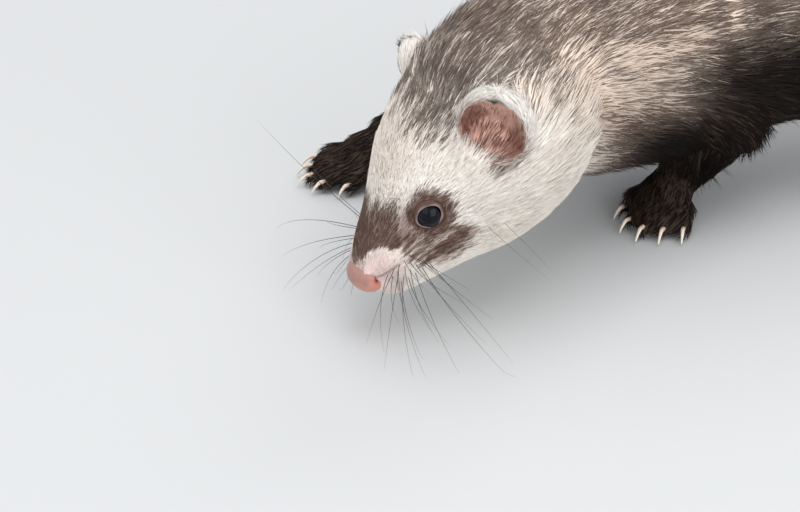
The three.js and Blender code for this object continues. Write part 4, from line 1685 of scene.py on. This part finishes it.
@dataclass
class Eyes:
    """Two dark wet eyes, each with a rim of bare skin round its opening.

    Attributes:
        body: the pose.
        bulge: how far the cornea stands out, for the eye's radius.
        ball_tint: colour of the ball.
        iris_and_reflection_tint: colour of the iris, bluish with a painted reflection of the room.
        pupil_and_reflection_tint: colour of the pupil, bluish with a painted reflection of the room.
        rim_shift: place of the rim's middle from the eye's, in the head's frame, in mm.
        rim_depth: how far out along the eye's axis the rim lies, for the eye's radius.
        rim_radius: radius of the opening in mm.
        rim_tall: height of the opening for its radius.
        rim_steps: rings round the opening.
        rim_sides: faces round the rim's section.
    """

    body: Body
    bulge: float = 0.05
    ball_tint: tuple[int, int, int] = (12, 9, 9)
    iris_and_reflection_tint: tuple[int, int, int] = (17, 19, 26)
    pupil_and_reflection_tint: tuple[int, int, int] = (9, 11, 18)
    rim_shift: tuple[float, float, float] = (-0.4, 0.0, 0.35)
    rim_depth: float = 0.66
    rim_radius: float = 3.62
    rim_tall: float = 0.95
    rim_steps: int = 48
    rim_sides: int = 12

    def build(self) -> None:
        """Makes both eyes and both rims."""
        wet, bare = EYE.material(), LID.material()
        for name, side in SIDES.items():
            self._eye(side, name, wet)
            self._rim(side, name, bare)

    def _eye(self, side: int, name: str, material: bpy.types.Material) -> None:
        """A ball that bulges a little at its cornea.

        Args:
            side: 1 for the left, -1 for the right.
            name: the side's name.
            material: the wet surface.
        """
        points, faces = ball(36, 48)
        facing = unit(HEAD.turn(EYE_FACING * [1, side, 1]))
        across = unit(np.cross(facing, HEAD.axes()[2]))
        frame = np.array([across, np.cross(facing, across), facing])
        reach, front = np.hypot(points[:, 0], points[:, 1]), points[:, 2] > 0
        out = 1.0 + self.bulge * ramp(reach, 0.62, 0.0) * front
        # The iris and the pupil are their own dark colour with a painted bluish reflection, lighter than the
        # ball's edge.
        tint = blend(srgb(*self.ball_tint), srgb(*self.iris_and_reflection_tint), ramp(reach, 0.78, 0.6) * front)
        tint = blend(tint, srgb(*self.pupil_and_reflection_tint), ramp(reach, 0.5, 0.42) * front)
        spot = HEAD.out(EYE_LOCAL * [1, side, 1]) + (points * out[:, None] * EYE_RADIUS) @ frame
        piece = make_mesh(f"eye_{name}_globe", self.body.metres(spot), faces, tint)
        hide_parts(f"eye_{name}")
        finish_piece(piece, material, "eye")

    def _rim(self, side: int, name: str, material: bpy.types.Material) -> None:
        """A flattened ring: an oval round the eye's axis, with an oval section that leans inwards.

        Args:
            side: 1 for the left, -1 for the right.
            name: the side's name.
            material: the bare skin.
        """
        facing = unit(HEAD.turn(EYE_FACING * [1, side, 1]))
        along = HEAD.turn([1, 0, 0])
        along = unit(along - facing * (along @ facing))
        other = np.cross(facing, along)
        middle = HEAD.out((EYE_LOCAL + self.rim_shift) * [1, side, 1]) + facing * EYE_RADIUS * self.rim_depth
        turn = np.arange(self.rim_steps) * 2 * np.pi / self.rim_steps
        wide = self.rim_radius * (1.06 + 0.05 * np.cos(2 * turn) + 0.03 * np.cos(turn))
        oval = along * (np.cos(turn) * wide)[:, None]
        oval = oval + other * (np.sin(turn) * self.rim_radius * self.rim_tall)[:, None]
        thick = 0.62 + 0.06 * np.sin(3 * turn + 1)
        slope = unit(unit(oval) - 0.75 * facing)
        around = np.arange(self.rim_sides) * 2 * np.pi / self.rim_sides
        section = (
            slope[:, None] * (1.35 * np.cos(around) + 0.15)[None, :, None]
            + facing[None, None] * (0.5 * np.sin(around))[None, :, None]
        ) * thick[:, None, None]
        points = (middle + oval[:, None] + section).reshape(-1, 3)
        k, j = np.indices((self.rim_steps, self.rim_sides))
        ahead, beside = (k + 1) % self.rim_steps * self.rim_sides, (j + 1) % self.rim_sides
        here = k * self.rim_sides
        faces = np.stack([here + j, here + beside, ahead + beside, ahead + j], axis=2).reshape(-1, 4)
        inner = (0.5 * np.cos(around) + 0.5)[None] + 0.12 * np.sin(5 * turn)[:, None]
        tint = blend(Palette.LID, Palette.MASK_TIP, ramp(inner.ravel(), 0.16, 0.46))
        piece = make_mesh(f"lid_{name}", self.body.metres(points), faces[:, ::side], tint)
        finish_piece(piece, material, "ear")


@dataclass
class NosePad:
    """The bare nose pad with its two nostrils and the groove between them.

    Attributes:
        body: the pose.
        proud: how far the pad stands out of the solid one each way, in mm.
        groove: depth of the groove in mm.
        nostril: depth of a nostril in mm.
        trail: depth of the slit that runs back from it, in mm.
        wing: how far the pad swells round a nostril, in mm.
        slit: half the length and half the width of a nostril, in mm.
        lining_and_shade_tint: colour at the bottom of a nostril, its red lining darkened by painted shade.
    """

    body: Body
    proud: tuple[float, float, float] = (0.3, 0.4, 0.45)
    groove: float = 0.4
    nostril: float = 1.3
    trail: float = 0.5
    wing: float = 0.75
    slit: tuple[float, float] = (1.35, 0.75)
    lining_and_shade_tint: tuple[int, int, int] = (104, 14, 14)

    def build(self) -> None:
        """Makes the pad: an ellipsoid, moved out along its rays by the wings and in by the hollows."""
        points, faces = ball(72, 96)
        points = points[:, [2, 0, 1]]
        local = points * (NOSE_SIZE + self.proud)
        side = np.abs(local[:, 1])
        groove = np.exp(-((local[:, 1] / 0.5) ** 2)) * ramp(-points[:, 2], -0.35, 0.5)
        groove = groove * ramp(points[:, 0], 0.1, 0.4)
        ahead, above = local[:, 0] + 1.0, local[:, 2] - 0.55
        wing = np.exp(-((ahead / 2.4) ** 2) - (above / 2.2) ** 2) * ramp(side, 2.0, 4.0)
        lean = math.radians(60)
        long = (above * math.cos(lean) - ahead * math.sin(lean)) / self.slit[0]
        wide = (ahead * math.cos(lean) + above * math.sin(lean)) / self.slit[1]
        hole = np.exp(-1.2 * (long**2 + wide**2)) * ramp(side, 2.4, 4.0)
        trail = np.exp(-(((above + 0.5) / 0.6) ** 2)) * ramp(ahead, -0.3, -1.6) * ramp(side, 3, 4)
        out = self.wing * wing - self.groove * groove - self.nostril * hole - self.trail * trail
        local = local + unit(points) * out[:, None]
        top = ramp(points[:, 2] + 0.3 * noise(local, 1.2, 41), -0.05, 0.6)
        tint = blend(Palette.NOSE, Palette.NOSE_TOP, 0.85 * top)
        tint = blend(tint, Palette.NOSTRIL, np.clip(1.7 * hole + 0.6 * trail + 0.15 * groove, 0, 1))
        # The bottom of each nostril darkens: its red lining with painted shade of the hollow.
        tint = blend(tint, srgb(*self.lining_and_shade_tint), ramp(hole, 0.55, 0.95))
        piece = make_mesh("nose_pad", self.body.metres(HEAD.out(local + NOSE_LOCAL)), faces, tint)
        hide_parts("nose")
        finish_piece(piece, NOSE.material(), "nose")


@dataclass
class Claws:
    """Five curved claws on each paw.

    Attributes:
        body: the pose.
        length: length of the longest claw in mm.
        radius: radius at its root in mm.
        sunk: how far inside the end of the toe it starts, in mm.
        floor_gap: least height of its middle over the floor, in mm.
        reach: places along it, for its length.
        bend_at: places along it where its height is given.
        bend: its height over the middle of the toe at those places, in mm.
        sides: faces round it.
        steps: rings along it.
    """

    body: Body
    length: float = 5.0
    radius: float = 0.72
    sunk: float = 2.2
    floor_gap: float = 0.55
    reach: tuple[float, ...] = (-0.12, 0.0, 0.22, 0.42, 0.62, 0.8, 0.93, 1.0)
    bend_at: tuple[float, ...] = (-0.12, 0.0, 0.4, 0.75, 1.0)
    bend: tuple[float, ...] = (0.2, 0.4, 0.75, -0.35, -2.15)
    sides: int = 12
    steps: int = 20

    def build(self) -> None:
        """Makes the claws of all four paws."""
        horn = CLAW.material()
        for name, leg in LEGS.items():
            points, faces = gather([self._claw(leg, toe) for toe in range(len(TOE_SHARES))])
            tints = np.tile(self._tint(), (len(TOE_SHARES), 1))
            piece = make_mesh(f"claws_{name}", self.body.metres(points), faces, tints)
            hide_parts(*(f"claw_{name}_{i + 1}" for i in range(5)))
            finish_piece(piece, horn, "claw")

    def _tint(self) -> Array:
        """Pink at the quick, ivory from the middle to the tip."""
        t = np.linspace(0, 1, self.steps)
        along = np.concatenate([np.repeat(t, self.sides), [0.0, 1.0]])
        return blend(Palette.QUICK, Palette.CLAW, ramp(along, 0.3, 0.62))

    def _claw(self, leg: Leg, toe: int) -> tuple[Array, Array]:
        """One claw: a tube that leaves its toe, arches and thins towards its tip near the floor.

        Args:
            leg: the leg.
            toe: which toe, from 0 on the inner side.

        Returns:
            Points in mm and triangles.
        """
        paw = HIND_PAW if leg.hind else FORE_PAW
        way = level_way(leg.heading)
        left = np.array([-way[1], way[0], 0.0])
        share, place = TOE_SHARES[toe], (toe - 2) * leg.mirror
        toe_way = level_way(leg.heading + place * paw.fan)
        back = 4.0 if toe == 0 else 1.2 * abs(toe - 2)
        start = np.array(leg.wrist, float) + way * (paw.palm - back) + left * (place * paw.spacing)
        start = start + toe_way * (paw.toe * share + paw.radius - self.sunk)
        reach = np.array(self.reach)
        path = start + toe_way * (self.length * (0.75 + 0.25 * share) * reach)[:, None]
        path[:, 2] = np.maximum(paw.radius + np.interp(reach, self.bend_at, self.bend), self.floor_gap)
        t = np.linspace(0, 1, self.steps)
        return tube(smooth_path(path, self.steps), self.radius * (1 - 0.82 * t**1.5), self.sides)


@dataclass
class Whiskers:
    """Fine dark whiskers on the pads of the muzzle, over the eyes and on the cheeks.

    Attributes:
        body: the pose.
        nearest: how far towards the animal's left, in the pose's Y, a whisker may reach, in mm.
        least: length in mm below which a whisker isn't shortened any more.
        thick: radius at the root of a whisker of the pads, in mm.
        fine: radius at the root of the others, in mm.
        tint: their colour.
    """

    body: Body
    nearest: float = -24.0
    least: float = 4.0
    thick: float = 0.1
    fine: float = 0.06
    tint: tuple[int, int, int] = (52, 44, 42)
    rng: np.random.Generator = field(default_factory=lambda: np.random.default_rng(SEED + 1))

    def build(self) -> None:
        """Makes them all, as one piece."""
        points, faces = gather([shape for side in SIDES.values() for shape in self._side(side)])
        tint = np.tile(srgb(*self.tint), (len(points), 1))
        piece = make_mesh("whiskers", self.body.metres(points), faces, tint)
        finish_piece(piece, WHISKER.material(), "dark_coat")

    def _side(self, side: int) -> list[tuple[Array, Array]]:
        """The whiskers of one side: four rows of five on the pad, three over the eye, two on the cheek.

        Args:
            side: 1 for the left, -1 for the right.

        Returns:
            Points and triangles of each.
        """
        shapes = []
        for row in range(4):
            for column in range(5):
                back = 6.5 + 2.1 * column + 0.5 * row
                angle = math.radians(86 + 10 * row)
                radius = 7.4 + 0.36 * back
                root = np.array([-back, radius * math.sin(angle) * side, radius * math.cos(angle)])
                out = np.array([1.4 - 0.34 * column, 1.0 * side, 0.3 - 0.26 * row])
                length = 19.0 + 6.5 * column + self.rng.uniform(-5, 5)
                shapes.append(self._whisker(root, out, length, self.thick))
        for k in range(3):
            root = np.array([-22.5 - 1.5 * k, (6.0 + k) * side, 10.5])
            shapes.append(self._whisker(root, np.array([0.5, 0.5 * side, 0.9 + 0.2 * k]), 15.0, self.fine))
        for k in range(2):
            root = np.array([-33.0 - 3.5 * k, 19.5 * side, -8.0 - 2.0 * k])
            shapes.append(self._whisker(root, np.array([0.1, 1.0 * side, -0.5]), 19.0, self.fine))
        return shapes

    def _whisker(self, root: Array, out: Array, length: float, radius: float) -> tuple[Array, Array]:
        """One whisker: it leaves the skin, and bends by the square of its length to its fine tip.

        A whisker that would reach too far or go under the floor is made shorter.

        Args:
            root: its root in the head's frame.
            out: the way it leaves, in the head's frame.
            length: its length in mm.
            radius: its radius at the root in mm.

        Returns:
            Points in mm and triangles.
        """
        start = HEAD.out(root)
        way = unit(HEAD.turn(out + self.rng.normal(0, 0.1, 3)))
        t = np.linspace(0, 1, 16)[:, None]
        bend = np.array([0.2, 0.05, -0.16]) + self.rng.normal(0, 0.1, 3)
        path = start
        while length > self.least:
            path = start - way * 1.2 + way * (length * t) + bend * (length * t**2)
            if path[:, 1].min() > self.nearest and path[:, 2].min() > -2.0:
                break
            length *= 0.95
        path[:, 2] = np.maximum(path[:, 2], 0.5 + 0.8 * t[:, 0])
        return tube(path, radius * (1 - 0.85 * t[:, 0]), 5)


@dataclass(frozen=True)
class Lamp:
    """One square area light.

    Attributes:
        name: its name.
        spot: its place in metres, in the part's frame.
        energy: its power in watts.
        size: width of its face in metres.
    """

    name: str
    spot: tuple[float, float, float]
    energy: float
    size: float


@dataclass
class Studio:
    """A pale floor, soft light from all round and the photograph's camera.

    Attributes:
        body: the pose.
        lamps: a large key overhead, a weak one on the left, one low in front and one behind.
        aim: the place that they all face, in metres.
        room: colour of the light from all round.
        room_strength: its strength.
        floor_half: half the floor's width in metres.
        floor_tint: the floor's colour, in linear light.
        target: the place that the camera looks at, in mm in the pose's frame.
        distance: how far away it is, in mm.
        elevation: how steeply it looks down, in degrees.
        lens: its focal length in mm.
        sensor: width of its sensor in mm.
    """

    body: Body
    lamps: tuple[Lamp, ...] = (
        Lamp("key", (0.0, -0.1, 1.2), 7.5, 1.0),
        Lamp("left", (-0.8, -0.8, 0.7), 2.2, 0.9),
        Lamp("front", (0.5, -1.1, 0.5), 6.0, 0.9),
        Lamp("rim", (0.5, 0.9, 0.9), 3.0, 0.7),
    )
    aim: tuple[float, float, float] = (-0.12, 0.0, 0.05)
    room: tuple[float, float, float] = (0.98, 0.99, 1.0)
    room_strength: float = 0.8
    floor_half: float = 3.0
    floor_tint: tuple[float, float, float] = (0.565, 0.575, 0.585)
    target: tuple[float, float, float] = (11.8, 3.8, 21.6)
    distance: float = 700.0
    elevation: float = 30.0
    lens: float = 120.0
    sensor: float = 36.0

    def build(self) -> None:
        """Makes the floor, the lights and the camera."""
        self._floor()
        self._lights()
        self._camera()

    def _floor(self) -> None:
        """A wide pale floor."""
        points = np.array([[-1, -1, 0], [1, -1, 0], [1, 1, 0], [-1, 1, 0]]) * self.floor_half
        floor = make_mesh("floor", points, np.array([[0, 1, 2, 3]]), smooth=False)
        material = bpy.data.materials.new("pale_floor")
        material.use_nodes = True
        shader = material.node_tree.nodes["Principled BSDF"]
        shader.inputs["Base Color"].default_value = (*self.floor_tint, 1.0)
        shader.inputs["Roughness"].default_value = 0.55
        floor.data.materials.append(material)
        floor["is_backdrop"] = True

    def _lights(self) -> None:
        """A bright room, and the lamps in it."""
        scene = bpy.context.scene
        world = bpy.data.worlds.new("room")
        world.use_nodes = True
        light = world.node_tree.nodes["Background"]
        light.inputs["Color"].default_value = (*self.room, 1.0)
        light.inputs["Strength"].default_value = self.room_strength
        scene.world = world
        for lamp in self.lamps:
            light = bpy.data.lights.new(lamp.name, "AREA")
            light.energy = lamp.energy
            light.size = lamp.size
            piece = bpy.data.objects.new(lamp.name, light)
            piece.location = lamp.spot
            piece.rotation_euler = look_along(np.subtract(self.aim, lamp.spot))
            scene.collection.objects.link(piece)

    def _camera(self) -> None:
        """The photograph's view: from the animal's left, looking down."""
        scene = bpy.context.scene
        lens = bpy.data.cameras.new("camera")
        lens.lens = self.lens
        lens.sensor_width = self.sensor
        camera = bpy.data.objects.new("camera", lens)
        slope = math.radians(self.elevation)
        away = np.array([0.0, -math.cos(slope), math.sin(slope)]) * self.distance
        camera.location = self.body.metres(self.target + away)
        camera.rotation_euler = look_along(-away)
        scene.collection.objects.link(camera)
        scene.camera = camera
        scene.view_settings.view_transform = "Standard"


def look_along(way: Array) -> Euler:
    """The turn that makes a lamp or a camera look along a direction, with its top upwards."""
    return Vector(way).to_track_quat("-Z", "Y").to_euler()


def corners() -> list[list[float]]:
    """The shown object's box.

    Returns:
        Its lowest and highest corner.
    """
    return [[float(v) for v in corner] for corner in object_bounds()]


def main() -> None:
    """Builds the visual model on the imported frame."""
    logging.basicConfig(level=logging.INFO)
    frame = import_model()
    low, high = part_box("eye_left")
    eye = (np.array(low) + np.array(high)) / 2 / MM
    body = Body(shift=eye - HEAD.out(EYE_LOCAL))
    flesh = {
        name: node for name, node in frame["nodes"].items()
        if not name.startswith(("eye", "claw", "nose"))
    }
    skin = Skin(body, Markings(body), flesh)
    piece = skin.piece()
    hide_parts(*flesh)
    finish_piece(piece, SKIN.material(), "pale_coat")
    CoatMaker(skin, FUR.material()).grow()
    for feature in (Eyes(body), NosePad(body), Claws(body), Whiskers(body), Studio(body)):
        feature.build()


if __name__ == "__main__":
    main()
